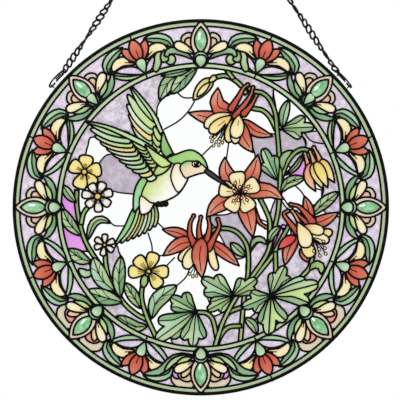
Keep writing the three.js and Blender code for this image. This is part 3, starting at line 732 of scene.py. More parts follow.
# the lower columbine
sepals("columbine_lower", (8.4, (-8, -25), (-19, -20.5), (-31, -18)),
       (11, (-4, -27), (-17, -30), (-30.6, -39.2)), (9.6, (6, -27), (19.5, -37), (31, -47.4)))
petals("columbine_lower", 0.8, 0.45, ("cream", 8, (-4, -30), (-11, -37), (-17.6, -43)),
       ("cream", 10, (-3, -30), (-9, -41), (-12, -50)), ("cream", 7, (8, -28), (9.6, -42), (13, -51)))
spurs("columbine_lower", "red", (6, (-5, -30), (-8.7, -22), (-8.6, -13), (-5.8, -7)),
      (6, (0, -30), (-1.6, -18), (0, -8)), (6, (4, -30), (7.1, -17), (6.1, -9)),
      (6, (6.4, -33), (11, -24), (15, -15.6), (13.8, -9.8)))
sepals("columbine_lower", (13, (1, -25), (-1, -40), (1, -57)), near=0.6, far=0.9)
stamens((-5, -46), [(-9, -54), (-6.5, -56), (-3.5, -55.5)])

# the columbine at the right
sepals("columbine_right", (8.6, (89, -12), (87, -1), (84, 9)), (9.8, (86, -15), (99, -11), (111.6, -4.2)),
       (10, (78, -22), (71.5, -34), (68, -46.8)), (8, (82, -32), (84.6, -39), (87.4, -44.6)))
petals("columbine_right", 0.6, 0.9, ("scarlet", 7.6, (77, -24), (70, -27.4), (62.5, -34)))
spurs("columbine_right", "red", (5.6, (78, -20), (72.2, -12.6), (67.4, -5.6), (70.6, -2.9)),
      (5.8, (88.6, -15), (82.6, -9.4), (77, -4.2)),
      (6.4, (90.4, -11.4), (84.6, -4.4), (79, 0.8), (72.8, 2.3)))
spurs("columbine_right", "salmon", (4.6, (81.6, -17), (78.2, -9.4), (74.2, -3)))
petals("columbine_right", 0.8, 0.45, ("gold", 7.4, (90, -20.6), (99, -21.4), (106.6, -19.8)),
       ("cream", 8.4, (84, -20), (94, -24), (104, -27.4)), ("gold", 10.4, (83, -26), (86, -33), (91, -40)),
       ("flushed_cream", 8.8, (83, -14.6), (91, -17.4), (99.8, -19.6)))
petals("columbine_right", 1.0, 0.45, ("cream", 12, (78, -11.6), (81.4, -18), (84.6, -25), (84.2, -32.8)))
stamens((90, -24.5), [(91.6, -35.6), (96.4, -39.2), (101.2, -37.6), (100.6, -33), (99.4, -27.6), (96, -34)])

# ---- the hummingbird ----
FAR_WING = "hummingbird_far_wing"
NEAR_WING = "hummingbird_near_wing"
TAIL = "hummingbird_tail"
BODY = "hummingbird_body"
EYE = Vector((-3.6, 35.1))


def feathers(figure, kinds, count, width, roots, tips, near=0.15, far=0.45, **more):
    """A row of feathers from one curve to another, each tucked under the one before; the first is slim."""
    roots, tips = spline(roots), spline(tips)
    for i in reversed(range(count)):
        share = i / (count - 1)
        root, tip = along_line(roots, share)[0], along_line(tips, share)[0]
        bow = root.lerp(tip, 0.5) + (tip - root).orthogonal() * 0.05
        reach = width if i else width * 0.72
        petal(figure, kinds[i % len(kinds)], [root, bow, tip], reach, near, far, **more)


feathers(FAR_WING, ("feather", "lime_feather", "pale_feather", "gold_feather", "mint_feather",
                    "lime_feather"), 6, 8, [(-35.5, 69.5), (-38, 62), (-38.5, 54), (-38, 46)],
         [(-57.3, 99), (-59.9, 88), (-58.4, 77), (-56, 68.5), (-53, 60.5)])
feathers(FAR_WING, ("covert",), 4, 5, [(-30.9, 58.8), (-32.7, 52), (-33.3, 45)],
         [(-36, 71.5), (-38.8, 62), (-38.6, 53)])
petal(FAR_WING, "feather", [(-57.2, 99), (-47.4, 87), (-38.6, 75), (-31.6, 60)], 3.4, 0.4, 0.1)
patch(FAR_WING, "back", (-30, 60), (-24, 42), (-30.6, 61), (-27, 53), (-21.5, 41), (-27, 40), (-31.8, 45),
      (-32.4, 52))
feathers(TAIL, ("green_tail", "lime_feather", "gold_feather", "lime", "pale_feather", "lime_feather",
                "mint_feather", "lime"), 8, 6.4, [(-53, 0), (-46, 4), (-39, 2)],
         [(-69.4, -30.6), (-59.4, -27.2), (-48, -22.5), (-37.6, -16)], 0.3, 0.5)
petal(BODY, "green_tail", [(-36, 30), (-47, 18), (-54, -4)], 9.5, 0.7, 0.8)
patch(BODY, "breast", (-46, 28), (-26, 13), (-24, 43), (-13, 38), (-10, 26), (-17, 12), (-29, 5), (-41, 3),
      (-48, 9), (-44, 20), (-36, 30))
patch(BODY, "throat", (-40, 6), (-46, -6), (-49, 9), (-41, 4), (-38, 3), (-42, -4), (-49, -5))
feathers(NEAR_WING, ("feather", "mint_feather", "lime_feather", "gold_feather", "pale_feather",
                     "pale_feather"), 11, 8, [(-58, 58), (-50, 44), (-38, 27)],
         [(-92.6, 69.6), (-84, 55.5), (-66, 38.5), (-54, 29), (-44, 22.5)], limit=INNER_RING)
feathers(NEAR_WING, ("covert",), 8, 5.4, [(-44.5, 50.5), (-43, 45.5), (-38.7, 39.7), (-34.8, 33.1)],
         [(-58, 58), (-53, 49.3), (-46.6, 40.6), (-40, 29.6)])
petal(NEAR_WING, "feather", [(-93.4, 69.4), (-76, 65), (-59.4, 58), (-45, 50.6), (-36, 44.4)], 4.2, 0.4, 0.1,
      limit=INNER_RING)
patch(NEAR_WING, "shoulder", (-26, 34), (-37, 27), (-32, 36), (-24, 35), (-29, 28.5), (-36, 25.6),
      (-38, 28.6))
patch(NEAR_WING, "shoulder", (-27, 36), (-44, 49), (-45, 50.6), (-36, 44.6), (-26.6, 38.2), (-24.4, 34.6),
      (-31, 32.4), (-37, 36.4), (-41.4, 43))
patch(BODY, "head", (-27, 38), (-2, 44), (-27.4, 39.2), (-19.5, 43.2), (-9, 46.5), (-1.5, 43.6), (3.6, 37.5),
      (5.6, 30.5), (1, 32), (-8, 33), (-16.5, 34.6), (-21.5, 34.8))
patch(BODY, "throat", (-22, 30), (-12, 18), (-20.8, 35.2), (-15.6, 35), (-10, 30), (-10, 24.4), (-13, 18),
      (-18.6, 12.2), (-23.7, 21.2), (-23.9, 28.5))
patch(BODY, "cheek", (-10, 38), (-5, 27), (-16.8, 33), (-13, 36.8), (-7, 37.4), (-0.5, 35.8), (4.4, 31.4),
      (4.6, 28.6), (-1, 27.2), (-8, 25), (-12.4, 23.8), (-15.6, 28))
petal(BODY, "beak", [(3.5, 30.2), (13, 23.4), (25, 15.2)], 3.8, 0.25, 1.0)
for foot in (Vector((-35.2, 4.2)), Vector((-32, 4.4)), Vector((-28.8, 4.6))):
    petal(BODY, "beak", [foot, foot + Vector((0.9, -2.2)), foot + Vector((-0.6, -3.6))], 2.6, 0.3, 0.8)

# ---- the motifs of the border, in front of the picture; they differ a little from eighth to eighth ----
LEFT_LEAVES = {0: "upright", 1: "double", 7: "double"}
RIGHT_LEAVES = {0: "double", 6: "double", 7: "upright"}
JEWEL_STYLES = {0: "volute", 1: "almond", 3: "fan", 4: "long_leaf", 5: "fan", 7: "almond"}
for step in range(MOTIFS):
    inner_leaves = {-1: LEFT_LEAVES.get(step, "single"), 1: RIGHT_LEAVES.get(step, "single")}
    flower_motif(EIGHTH * (step + 0.5), inner_leaves)
for step in range(MOTIFS):
    jewel_motif(EIGHTH * step, JEWEL_STYLES.get(step, "leafy"))


# ---- cutting the glass: which pane shows where ----
def label_cells():
    """Lays all outlines into one triangulation, and gives each triangle the pane that shows there."""
    corners, faces = [], []
    for entry in PANES:
        start = len(corners)
        corners.extend(entry["outline"])
        faces.append(list(range(start, len(corners))))
    points, _, triangles, _, _, sources = delaunay_2d_cdt(corners, [], faces, 1, 1e-5, True)
    labels = []
    for triangle, owners in zip(triangles, sources):
        middle = sum((points[i] for i in triangle), Vector((0, 0))) / 3
        shown = [i for i in owners if middle.length < PANES[i]["limit"]]
        labels.append(max(shown) if shown else None)
    return points, triangles, labels


POINTS, TRIANGLES, LABELS = label_cells()


def to_panel(point, height=0.0):
    """A cartoon point in the frame's metres, at a height in front of the middle of the glass."""
    return Vector((MIDDLE.x + point[0] * MM, MIDDLE.y - height * MM, MIDDLE.z + point[1] * MM))


# ---- making pieces ----
def finish_piece(piece, slot, *nodes):
    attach(piece, "root")
    if nodes:
        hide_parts(*nodes)


def link_object(name, data):
    """A new object for a mesh, a curve, a light or a camera."""
    thing = bpy.data.objects.new(name, data)
    bpy.context.scene.collection.objects.link(thing)
    return thing


def select_only(piece):
    bpy.ops.object.select_all(action="DESELECT")
    piece.select_set(True)
    bpy.context.view_layer.objects.active = piece


def set_in_place(piece, matrix):
    """Moves a piece by a matrix, and keeps the place in its mesh."""
    select_only(piece)
    piece.matrix_world = matrix
    bpy.ops.object.transform_apply(location=True, rotation=True, scale=True)


def coat(piece, material):
    piece.data.materials.clear()
    piece.data.materials.append(material)


# ---- sheet glass ----
def glass_piece(name, figure, slot, *nodes):
    """The panes of a figure that show, cut from sheet glass of one depth."""
    chosen = [n for n, label in enumerate(LABELS)
              if label is not None and PANES[label]["figure"] == figure and PANES[label]["glass"] != "jewel"]
    numbers = {}
    faces = [[numbers.setdefault(i, len(numbers)) for i in TRIANGLES[n]] for n in chosen]
    mesh = bpy.data.meshes.new(name)
    mesh.from_pydata([to_panel(POINTS[i], -GLASS_DEPTH / 2) for i in numbers], [], faces)
    kinds = sorted({PANES[LABELS[n]]["glass"] for n in chosen})
    for kind in kinds:
        mesh.materials.append(GLASS[kind])
    layer = mesh.uv_layers.new(name="along_the_pane")
    for polygon, n in zip(mesh.polygons, chosen):
        entry = PANES[LABELS[n]]
        polygon.material_index = kinds.index(entry["glass"])
        axis = entry["tip"] - entry["base"]
        for loop, i in zip(polygon.loop_indices, TRIANGLES[n]):
            offset = POINTS[i] - entry["base"]
            layer.data[loop].uv = (offset.dot(axis) / axis.length_squared,
                                   offset.cross(axis) / axis.length_squared)
    piece = link_object(name, mesh)
    select_only(piece)
    solidify = piece.modifiers.new("sheet depth", "SOLIDIFY")
    solidify.thickness = GLASS_DEPTH * MM
    solidify.offset = 1.0
    bpy.ops.object.modifier_apply(modifier=solidify.name)
    finish_piece(piece, slot, *nodes)


# ---- beads of lead and lines of paint ----
GROUNDS = ("ground", "ground_lilac")
SHARP = math.radians(62)
SHORTEST_STEP = 0.02
BEAD_SECTION = ((0.5, -0.36), (0.5, 0.36), (0.34, 0.46), (0, 0.5), (-0.34, 0.46),
                (-0.5, 0.36), (-0.5, -0.36), (-0.34, -0.46), (0, -0.5), (0.34, -0.46))


def chains_of(edges):
    """Joins edges end to end into lines, which stop where more than two edges meet."""
    ends = {}
    for a, b in edges:
        ends.setdefault(a, []).append(b)
        ends.setdefault(b, []).append(a)
    left = {frozenset(e) for e in edges}
    lines = []

    def walk(start, after):
        line = [start, after]
        left.discard(frozenset((start, after)))
        while len(ends[line[-1]]) == 2:
            onward = [n for n in ends[line[-1]] if frozenset((line[-1], n)) in left]
            if not onward:
                break
            left.discard(frozenset((line[-1], onward[0])))
            line.append(onward[0])
        return line

    for start in [n for n in ends if len(ends[n]) != 2]:
        for after in ends[start]:
            if frozenset((start, after)) in left:
                lines.append(walk(start, after))
    while left:
        a, b = next(iter(left))
        lines.append(walk(a, b))
    return lines


def seam_lines():
    """The seams between panes that show, as lines of points, by where they are and how heavy their lead is.

    Outlines that make up one pane have no seam between them; the halves of a leaf have a light one.
    """
    sides = {}
    for triangle, label in zip(TRIANGLES, LABELS):
        for a, b in zip(triangle, triangle[1:] + triangle[:1]):
            sides.setdefault(frozenset((a, b)), []).append(label)
    seams = {}
    for edge, labels in sides.items():
        if len(labels) != 2 or labels[0] == labels[1] or None in labels:
            continue
        panes = [PANES[i] for i in labels]
        figures = {entry["figure"] for entry in panes}
        place = "picture" if all(entry["limit"] == PICTURE_RING for entry in panes) else "border"
        same = panes[0]["group"] == panes[1]["group"]
        if same and (panes[0]["glass"] == panes[1]["glass"] or not figures & {"border", "foliage"}):
            continue
        if figures <= set(GROUNDS):
            weight = "ground"
        elif same:
            weight = "rib" if place == "picture" else "fine"
        else:
            weight = "fine" if len(figures) == 1 and place == "picture" else "main"
        seams.setdefault((place, weight), []).append(tuple(edge))
    return {key: [[POINTS[i] for i in line] for line in chains_of(edges)] for key, edges in seams.items()}


def flat_curve(name, lines, closed=False):
    """A curve object in the XY plane with one straight-sided part for each line."""
    curve = bpy.data.curves.new(name, "CURVE")
    curve.dimensions = "2D"
    for line in lines:
        if len(line) < 2:
            continue
        part = curve.splines.new("POLY")
        part.points.add(len(line) - 1)
        part.use_cyclic_u = closed
        for point, place in zip(part.points, line):
            point.co = (place.x * MM, place.y * MM, 0, 1)
    return link_object(name, curve)


def split_at_corners(lines, reach):
    """Cuts each line where it turns sharply; the ends there run on by a reach, to meet in a point."""
    parts = []
    for line in lines:
        line = [line[0]] + [q for p, q in zip(line, line[1:]) if (p - q).length > SHORTEST_STEP]
        part = line[:1]
        for before, here, after in zip(line, line[1:], line[2:]):
            part.append(here)
            if (here - before).angle(after - here, 0) > SHARP:
                parts.append(part[:-1] + [here + (here - before).normalized() * reach])
                part = [here - (after - here).normalized() * reach]
        parts.append(part + line[-1:])
    return parts


def beads(name, lines, width, depth, material, height=0.0):
    """Lines as one piece of bead with upright sides and a rounded top, centred at a height in the glass."""
    section_line = [Vector((x * width, y * depth)) for x, y in BEAD_SECTION]
    section = flat_curve(f"{name}_section", [section_line], True)
    piece = flat_curve(name, split_at_corners(lines, width * 0.4))
    piece.data.fill_mode = "NONE"
    piece.data.bevel_mode = "OBJECT"
    piece.data.bevel_object = section
    piece.data.use_fill_caps = True
    select_only(piece)
    bpy.ops.object.convert(target="MESH")
    piece = bpy.context.object
    bpy.data.objects.remove(section)
    set_in_place(piece, Matrix.Translation(to_panel((0, 0), height)) @ Matrix.Rotation(math.pi / 2, 4, "X"))
    coat(piece, material)
    bpy.ops.object.shade_smooth_by_angle(angle=SMOOTH_BELOW)
    return piece


def within(point, outline):
    """Whether a point lies in a closed outline."""
    inside = False
    for a, b in zip(outline, outline[-1:] + outline[:-1]):
        if (a.y > point.y) != (b.y > point.y):
            if point.x < (b.x - a.x) * (point.y - a.y) / (b.y - a.y) + a.x:
                inside = not inside
    return inside


def shown_at(point):
    """The number of the pane that shows at a point."""
    for i in range(len(PANES) - 1, -1, -1):
        low_x, high_x, low_y, high_y = PANES[i]["box"]
        if low_x < point.x < high_x and low_y < point.y < high_y and point.length < PANES[i]["limit"]:
            if within(point, PANES[i]["outline"]):
                return i
    return None


def clipped(line, allowed):
    """The stretches of a line on which the pane that shows is allowed."""
    dense = [a.lerp(b, k / 3) for a, b in zip(line, line[1:]) for k in range(3)] + [line[-1]]
    runs, run = [], []
    for a, b in zip(dense, dense[1:]):
        if allowed(shown_at((a + b) / 2)):
            run = run or [a]
            run.append(b)
        elif run:
            runs.append(run)
            run = []
    return runs + ([run] if run else [])


def on_the_ground(index):
    return index is not None and PANES[index]["figure"] in GROUNDS


for (place, weight), lines in seam_lines().items():
    replaced = ("leading",) if (place, weight) == ("picture", "main") else ()
    lead = beads(f"lead_{place}_{weight}", lines, SEAM_WIDTHS[weight], LEAD_DEPTH, LEAD)
    finish_piece(lead, "black_lead", *replaced)

free = [run for line in FREE_LINES for run in clipped(line, on_the_ground)]
for step in range(MOTIFS):
    free.append([at(EIGHTH * (step + 0.5), radius) for radius in (BORDER_RING, RIM_INSIDE)])
    free.append([at(EIGHTH * (step + 0.5), radius) for radius in (PICTURE_RING, INNER_RING)])
finish_piece(beads("lead_ground_lines", free, SEAM_WIDTHS["ground"], LEAD_DEPTH, LEAD), "black_lead")

for name, width in (("painted_lines", PAINT_LINE), ("painted_veins", VEIN_LINE),
                    ("painted_stamens", STAMEN_LINE)):
    painted = []
    for own, line, line_width in PAINTED:
        if line_width == width:
            painted += clipped(line, lambda i: i == own or (own is None and i is not None))
    finish_piece(beads(name, painted, width, PAINT_DEPTH, BLACK_PAINT, GLASS_DEPTH / 2), "black_lead")

glass_piece("border_panes", "border", "border_glass", "border_glass")
glass_piece("outer_band", "outer_band", "band_glass", "outer_band_glass")
glass_piece("inner_band", "inner_band", "band_glass", "inner_band_glass")
glass_piece("clear_ground", "ground", "clear_glass", "clear_glass")
glass_piece("lilac_ground", "ground_lilac", "lilac_glass", "lilac_glass_upper", "lilac_glass_right",
            "lilac_glass_lower")
glass_piece("leaves_and_stems", "foliage", "green_glass")
FIGURES = [
    ("yellow_glass", "yellow_flower_upper", "yellow_flower_lower"),
    ("white_glass", "white_daisy", "white_flower_small"),
    ("yellow_glass", "yellow_bud", "hanging_bud"),
    ("red_glass", "columbine_top", "columbine_centre", "columbine_lower", "columbine_right"),
    ("green_glass", FAR_WING, TAIL),
    ("bird_glass", BODY),
    ("green_glass", NEAR_WING),
]
for slot, *figures in FIGURES:
    for figure in figures:
        glass_piece(f"{figure}_panes", figure, slot, figure)

# ---- the black metal: rim, loops, clasps, chain and ring ----
# the loops stand on the rim at one angle from the top, and the far ends of the clasps lie over another
MERGE = 0.02
WIRE = 1.7
LINK_WIDTH = 5.6
LINK_PITCH = 5.6
LINK_OVERLAP = 1.7 * WIRE
LINK_TWIST = 45.0
LINK_SLANT = 20.0
RING_WIRE = 1.8
LOOP_WIRE = 1.0
LOOP_RADIUS = 1.9
HOOK_ANGLE = 50.8
EYE_ANGLE = 44.2
GAP = 0.3
RIM_BEVEL = 0.8
FRONT = Vector((0, -1, 0))
LEVEL = Vector((1, 0))

# the clasp along X from its claw: points of its back with the swell of the wire there, its gate, spring and
# rivet as bars
CLASP_WIRE = 1.35
CLASP_HOOK = 1.4
CLASP_EYE = 18.3
CLASP_BACK = ((5.9, -1.45, 1.1), (4.2, -1.6, 1.15), (2.4, -1.6, 1.1), (0.9, -1.1, 1.05), (0.4, 0.1, 1.0),
              (1.3, 1.3, 1.0), (3.4, 2.15, 1.0), (7, 2.6, 1.0), (12, 2.45, 1.05), (16.4, 1.7, 1.0),
              (18.9, 0.7, 0.9), (18.7, -0.6, 0.85), (16.8, -1.15, 0.9), (14.8, -1.2, 1.0))
GATE = (6.9, 15.2, -1.3, 0.66, 1.25)
SPRING_ROD = (8.4, 14.0, 0.55, 0.5)
COIL_RADIUS = 0.85
COIL_WIRE = 0.45
COIL_TURNS = 7
RIVET = (-0.9, 2.5, 0, 0.7)
RIVET_PLACE = (15.2, 0.2)

# dabs of paint: length, width and height
ANTHER, ANTHER_LIGHT = (3.6, 3.0, 0.8), (2.2, 1.6, 1.4)
# the eye: a black rim, a pale ring, the pupil, and a small pale dab on the pupil that is a painted glint
EYE_RIM, EYE_RING, PUPIL, EYE_PAINTED_GLINT = (8.2, 6.6, 0.6), (6.8, 4.9, 0.8), (4.9, 4.9, 1.2), (1.5, 1.2, 1.8)
EYE_PAINTED_GLINT_PLACE = EYE + Vector((-0.5, 1.0))


def edit(piece):
    """Opens a piece for editing, with nothing selected."""
    select_only(piece)
    bpy.ops.object.mode_set(mode="EDIT")
    bpy.ops.mesh.select_mode(type="VERT")
    bpy.ops.mesh.select_all(action="DESELECT")


def pick(piece, chosen):
    """Selects the vertices that a test on their place chooses."""
    bpy.ops.mesh.select_all(action="DESELECT")
    mesh = bmesh.from_edit_mesh(piece.data)
    for vertex in mesh.verts:
        vertex.select = chosen(vertex.co)
    mesh.select_flush(True)
    bmesh.update_edit_mesh(piece.data)


def close_edit():
    """Merges the seam that a spin leaves, turns the faces outwards and shades the piece."""
    bpy.ops.mesh.select_all(action="SELECT")
    bpy.ops.mesh.remove_doubles(threshold=MERGE * MM)
    bpy.ops.mesh.normals_make_consistent(inside=False)
    bpy.ops.object.mode_set(mode="OBJECT")
    bpy.ops.object.shade_smooth_by_angle(angle=SMOOTH_BELOW)


def joined(name, parts, material, slot, *nodes):
    """Parts of one material made into a single piece."""
    bpy.ops.object.select_all(action="DESELECT")
    for part in parts:
        part.select_set(True)
    bpy.context.view_layer.objects.active = parts[0]
    if len(parts) > 1:
        bpy.ops.object.join()
    piece = bpy.context.object
    piece.name = name
    coat(piece, material)
    finish_piece(piece, slot, *nodes)


def copied(part):
    copy = part.copy()
    copy.data = part.data.copy()
    bpy.context.scene.collection.objects.link(copy)
    return copy


def dab(pattern, place, along, size):
    """A dab of glass paint on the front of the glass: a flattened ball, longer along one direction."""
    length, width, height = size
    across = Vector((-along.y, along.x))
    matrix = Matrix(((along.x * length, 0, across.x * width), (0, height, 0),
                     (along.y * length, 0, across.y * width))).to_4x4()
    copy = copied(pattern)
    set_in_place(copy, Matrix.Translation(to_panel(place, GLASS_DEPTH / 2)) @ matrix)
    return copy


def paint_dabs():
    """The anthers and the bird's eye, laid in black and then in colour; the small pale dab on the pupil is a
    painted glint.
    """
    bpy.ops.object.select_all(action="DESELECT")
    bpy.ops.mesh.primitive_uv_sphere_add(segments=12, ring_count=6, radius=0.5 * MM)
    ball = bpy.context.object
    bpy.ops.object.shade_smooth()
    black = [dab(ball, tip, along, ANTHER) for tip, along in ANTHERS]
    black += [dab(ball, EYE, LEVEL, EYE_RIM), dab(ball, EYE, LEVEL, PUPIL)]
    yellow = [dab(ball, tip, along, ANTHER_LIGHT) for tip, along in ANTHERS]
    # the pale ring round the eye, which is its own colour, and the painted glint on the pupil
    pale = [dab(ball, EYE, LEVEL, EYE_RING), dab(ball, EYE_PAINTED_GLINT_PLACE, LEVEL, EYE_PAINTED_GLINT)]
    bpy.data.objects.remove(ball)
    joined("painted_black_dabs", black, BLACK_PAINT, "black_lead")
    joined("painted_anthers", yellow, YELLOW_PAINT, "yellow_glass")
    joined("painted_eye_ring_and_glint", pale, PALE_PAINT, "white_glass")


def rim_channel():
    """The channel of lead round the edge: a rounded section spun about the middle of the disc."""
    width = RIM_RADIUS - RIM_INSIDE
    bpy.ops.object.select_all(action="DESELECT")
    bpy.ops.mesh.primitive_plane_add(
        size=1, location=(MIDDLE.x + (RIM_INSIDE + width / 2) * MM, MIDDLE.y, MIDDLE.z))
    piece = bpy.context.object
    piece.scale = (width * MM, RIM_DEPTH * MM, 1)
    bpy.ops.object.transform_apply(location=True, rotation=True, scale=True)
    edit(piece)
    bpy.ops.mesh.select_all(action="SELECT")
    bpy.ops.mesh.bevel(offset=RIM_BEVEL * MM, segments=3, affect="VERTICES")
    bpy.ops.mesh.select_all(action="SELECT")
    bpy.ops.mesh.delete(type="ONLY_FACE")
    bpy.ops.mesh.select_all(action="SELECT")
    bpy.ops.mesh.spin(steps=160, angle=2 * math.pi, center=MIDDLE, axis=(0, 1, 0))
    close_edit()
    joined("rim_channel", [piece], LEAD, "black_lead", "rim")


def wire_ring(radius, wire, turn=356):
    """A ring of round wire in the XZ plane, bent from one length so that its ends all but meet."""
    bpy.ops.object.select_all(action="DESELECT")
    bpy.ops.mesh.primitive_circle_add(vertices=12, radius=wire / 2 * MM, fill_type="NGON",
                                      location=(radius * MM, 0, 0))
    piece = bpy.context.object
    bpy.ops.object.transform_apply(location=True, rotation=True, scale=True)
    edit(piece)
    bpy.ops.mesh.select_all(action="SELECT")
    bpy.ops.mesh.extrude_region_move()
    bpy.ops.mesh.spin(steps=40, angle=math.radians(turn), center=(0, 0, 0), axis=(0, 1, 0))
    close_edit()
    return piece


def curb_link(length):
    """One curb link: an oval of wire along X, its two ends turned apart so that the chain lies flat."""
    bpy.ops.object.select_all(action="DESELECT")
    bpy.ops.mesh.primitive_torus_add(major_radius=(LINK_WIDTH - WIRE) / 2 * MM, minor_radius=WIRE / 2 * MM,
                                     major_segments=18, minor_segments=8)
    link = bpy.context.object
    edit(link)
    for sense in (-1, 1):
        pick(link, lambda place: sense * place.x > 0.1 * MM)
        bpy.ops.transform.translate(value=(sense * (length - LINK_WIDTH) / 2 * MM, 0, 0))
    close_edit()
    twist = link.modifiers.new("curb twist", "SIMPLE_DEFORM")
    twist.deform_method = "TWIST"
    twist.deform_axis = "X"
    twist.angle = math.radians(LINK_TWIST)
    bpy.ops.object.modifier_apply(modifier=twist.name)
    return link


def frame_along(start, along, across, roll):
    """The place of a thing modelled along X, set at a point along a direction and rolled about it."""
    across = Matrix.Rotation(math.radians(roll), 3, along) @ across
    normal = along.cross(across)
    matrix = Matrix((along, across, normal)).transposed().to_4x4()
    matrix.translation = start
    return matrix


def bar(start, end, offset, radius, swell=1.0):
    """A round bar along X between two places, which swells towards its end."""
    bpy.ops.object.select_all(action="DESELECT")
    bpy.ops.mesh.primitive_cylinder_add(
        vertices=14, radius=radius * MM, depth=(end - start) * MM,
        location=((start + end) / 2 * MM, offset * MM, 0), rotation=(0, math.pi / 2, 0))
    piece = bpy.context.object
    bpy.ops.object.transform_apply(location=True, rotation=True, scale=True)
    edit(piece)
    pick(piece, lambda place: place.x > (start + end) / 2 * MM)
    bpy.ops.transform.resize(value=(1, swell, swell))
    bpy.ops.mesh.select_all(action="SELECT")
    bpy.ops.mesh.bevel(offset=0.2 * MM, segments=2)
    close_edit()
    return piece


def clasp_back():
    """The bowed back of a clasp, from the claw round the eye: wire that swells and thins along its way."""
    curve = bpy.data.curves.new("clasp_back", "CURVE")
    curve.dimensions = "3D"
    curve.bevel_depth = CLASP_WIRE / 2 * MM
    curve.bevel_resolution = 3
    curve.use_fill_caps = True
    line = spline(CLASP_BACK, 5)
    part = curve.splines.new("POLY")
    part.points.add(len(line) - 1)
    for point, (x, y, swell) in zip(part.points, line):
        point.co = (x * MM, y * MM, 0, 1)
        point.radius = swell
    select_only(link_object("clasp_back", curve))
    bpy.ops.object.convert(target="MESH")
    bpy.ops.object.shade_smooth_by_angle(angle=SMOOTH_BELOW)
    return bpy.context.object


def claw_clasp():
    """The parts of a lobster clasp along X, from its claw at 0: a bowed back, gate, spring and rivet."""
    parts = [clasp_back(), bar(*GATE), bar(*SPRING_ROD)]
    first, last, offset, _ = SPRING_ROD
    for step in range(COIL_TURNS):
        coil = wire_ring(COIL_RADIUS, COIL_WIRE, TURN)
        place = Vector(((first + (last - first) * step / (COIL_TURNS - 1)) * MM, offset * MM, 0))
        set_in_place(coil, Matrix.Translation(place) @ Matrix.Rotation(math.pi / 2, 4, "Z"))
        parts.append(coil)
    rivet = bar(*RIVET)
    place = Vector((RIVET_PLACE[0] * MM, RIVET_PLACE[1] * MM, 0))
    set_in_place(rivet, Matrix.Translation(place) @ Matrix.Rotation(-math.pi / 2, 4, "Y"))
    return [*parts, rivet]


def centre_of(node):
    low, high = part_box(node)
    return (low + high) / 2


def spoke(degrees):
    """A direction in the plane of the panel by its angle clockwise from the top."""
    return Vector((math.sin(math.radians(degrees)), 0, math.cos(math.radians(degrees))))


def hanger(name, sign, clasp_roll, twist):
    """A loop on the rim, the clasp through it, and the strand of curb chain up to the hang ring."""
    loop_centre = centre_of(f"hanging_loop_{name}")
    outward = spoke(sign * HOOK_ANGLE)
    along = spoke(sign * (90 - (HOOK_ANGLE + EYE_ANGLE) / 2))
    along.x *= -1
    flat_side = (outward - along * outward.dot(along)).normalized()
    loop = wire_ring(LOOP_RADIUS, LOOP_WIRE)
    set_in_place(loop, frame_along(loop_centre, flat_side, along, 0))
    joined(f"hanging_loop_{name}_wire", [loop], STEEL, "black_steel", f"hanging_loop_{name}")

    across = Matrix.Rotation(math.radians(clasp_roll), 3, along) @ flat_side
    hung = loop_centre + across * LOOP_RADIUS * MM
    start = hung - along * (CLASP_HOOK + GAP + LOOP_WIRE / 2) * MM
    parts = claw_clasp()
    for part in parts:
        set_in_place(part, frame_along(start, along, flat_side, clasp_roll))
    joined(f"clasp_{name}_claw", parts, STEEL, "black_steel", f"clasp_{name}")

    first_wire = start + along * (CLASP_EYE - GAP - WIRE / 2) * MM
    direction = centre_of("hang_ring") - first_wire
    reach = direction.length / MM - RING_RADIUS + RING_WIRE / 2 + GAP + WIRE / 2
    direction.normalize()
    side = FRONT.cross(direction).normalized()
    slant = Matrix.Rotation(math.radians(LINK_SLANT), 4, "Z")
    count = round(reach / LINK_PITCH)
    pattern = curb_link(reach / count + LINK_OVERLAP)
    start_roll, end_roll = clasp_roll - 90, 90 + twist
    links = []
    for i in range(count):
        share = (i + 0.5) / count
        roll = start_roll + (end_roll - start_roll) * share
        place = first_wire + direction * reach * share * MM
        link = copied(pattern)
        set_in_place(link, frame_along(place, direction, side, roll) @ slant)
        links.append(link)
    bpy.data.objects.remove(pattern)
    joined(f"chain_{name}_links", links, STEEL, "black_steel", f"chain_{name}")


RING_RADIUS = (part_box("hang_ring")[1].x - centre_of("hang_ring").x) / MM - RING_WIRE / 2
paint_dabs()
rim_channel()
hanger("left", -1, 48, 720)
hanger("right", 1, 60, -900)
hang_ring = wire_ring(RING_RADIUS, RING_WIRE)
set_in_place(hang_ring, Matrix.Translation(centre_of("hang_ring")))
joined("hang_ring_wire", [hang_ring], STEEL, "black_steel", "hang_ring")

# ---- the jewels ----
JEWEL_LENGTH = 20.2
JEWEL_WIDTH = 9.4
JEWEL_RING = 135.4
JEWEL_FOOT = 3.4
FOOTED_JEWELS = (1, 7)


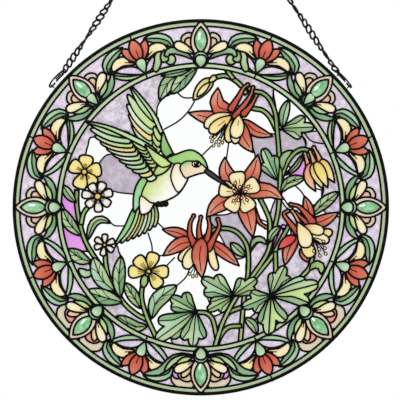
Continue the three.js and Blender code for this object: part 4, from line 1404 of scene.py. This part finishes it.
def jewel_stone(node, degrees, foot):
    """A pointed cabochon: an arc spun about its chord, as deep as its seat, ground off at its foot."""
    low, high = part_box(node)
    depth = (high.y - low.y) / MM
    radius = (JEWEL_LENGTH ** 2 + JEWEL_WIDTH ** 2) / (4 * JEWEL_WIDTH)
    bpy.ops.object.select_all(action="DESELECT")
    bpy.ops.mesh.primitive_circle_add(vertices=96, radius=radius * MM,
                                      location=((JEWEL_WIDTH / 2 - radius) * MM, 0, 0))
    stone = bpy.context.object
    bpy.ops.object.transform_apply(location=True, rotation=True, scale=True)
    edit(stone)
    bpy.ops.mesh.select_all(action="SELECT")
    bpy.ops.mesh.bisect(plane_co=(0, 0, 0), plane_no=(1, 0, 0), clear_inner=True)
    bpy.ops.mesh.select_all(action="SELECT")
    bpy.ops.mesh.spin(steps=32, angle=2 * math.pi, center=(0, 0, 0), axis=(0, 1, 0))
    bpy.ops.mesh.select_all(action="SELECT")
    bpy.ops.transform.resize(value=(1, 1, depth / JEWEL_WIDTH))
    bpy.ops.mesh.remove_doubles(threshold=MERGE * MM)
    if foot:
        bpy.ops.mesh.select_all(action="SELECT")
        bpy.ops.mesh.bisect(plane_co=(0, (foot - JEWEL_LENGTH / 2) * MM, 0), plane_no=(0, 1, 0),
                            use_fill=True, clear_inner=True)
    close_edit()
    turn = Matrix.Rotation(math.radians(degrees), 4, "Y")
    seat = turn @ Matrix.Translation(Vector((0, 0, JEWEL_RING * MM)))
    lift = Matrix.Translation(Vector((MIDDLE.x, (low.y + high.y) / 2, MIDDLE.z)))
    set_in_place(stone, lift @ seat @ Matrix.Rotation(math.pi / 2, 4, "X"))
    joined(f"{node}_stone", [stone], GLASS["jewel"], "jewel_glass", node)


for step in range(MOTIFS):
    jewel_stone(f"border_jewel_{step + 1}", EIGHTH * step, JEWEL_FOOT if step in FOOTED_JEWELS else 0)

# ---- stage, lights and camera, in metres ----
FLOOR_SIZE = 200
FLOOR_DROP = 12.0
LENS = 180.0
SENSOR = 36.0
VIEW_WIDTH = 324.4
VIEW_MIDDLE = (-0.65, 5.9)


def area_light(name, energy, size, place):
    """A square light above and in front of the panel, turned to its middle."""
    data = bpy.data.lights.new(name, "AREA")
    data.energy = energy
    data.size = size
    light = link_object(name, data)
    light.location = (place[0], place[1], MIDDLE.z + place[2])
    light.rotation_euler = (Vector((0, 0, MIDDLE.z)) - light.location).to_track_quat("-Z", "Y").to_euler()
    return light


world = bpy.data.worlds.new("pale studio")
bpy.context.scene.world = world
world.use_nodes = True
world.node_tree.nodes["Background"].inputs["Color"].default_value = (1, 1, 1, 1)
world.node_tree.nodes["Background"].inputs["Strength"].default_value = 1.0
bpy.context.scene.view_settings.view_transform = "Standard"

bpy.ops.mesh.primitive_plane_add(size=FLOOR_SIZE, location=(0, 0, MIDDLE.z - FLOOR_DROP))
floor = bpy.context.object
floor.name = "floor"
floor_material, _, floor_shader = new_material("pale_floor")
floor_shader.inputs["Base Color"].default_value = linear("#f4f4f4")
floor_shader.inputs["Roughness"].default_value = 0.9
floor.data.materials.append(floor_material)

area_light("window light", 2.0, 0.12, (-0.5, -1.0, 0.7))
softbox = area_light("softbox", 30.0, 0.8, (-0.5, -1.4, 0.75))
softbox.visible_diffuse = False

camera_data = bpy.data.cameras.new("camera")
camera_data.lens = LENS
camera_data.sensor_width = SENSOR
camera_data.clip_end = 100
camera = link_object("camera", camera_data)
camera.location = (MIDDLE.x + VIEW_MIDDLE[0] * MM, -VIEW_WIDTH * MM * LENS / SENSOR,
                   MIDDLE.z + VIEW_MIDDLE[1] * MM)
camera.rotation_euler = (math.pi / 2, 0, 0)
bpy.context.scene.camera = camera

bpy.context.view_layer.update()
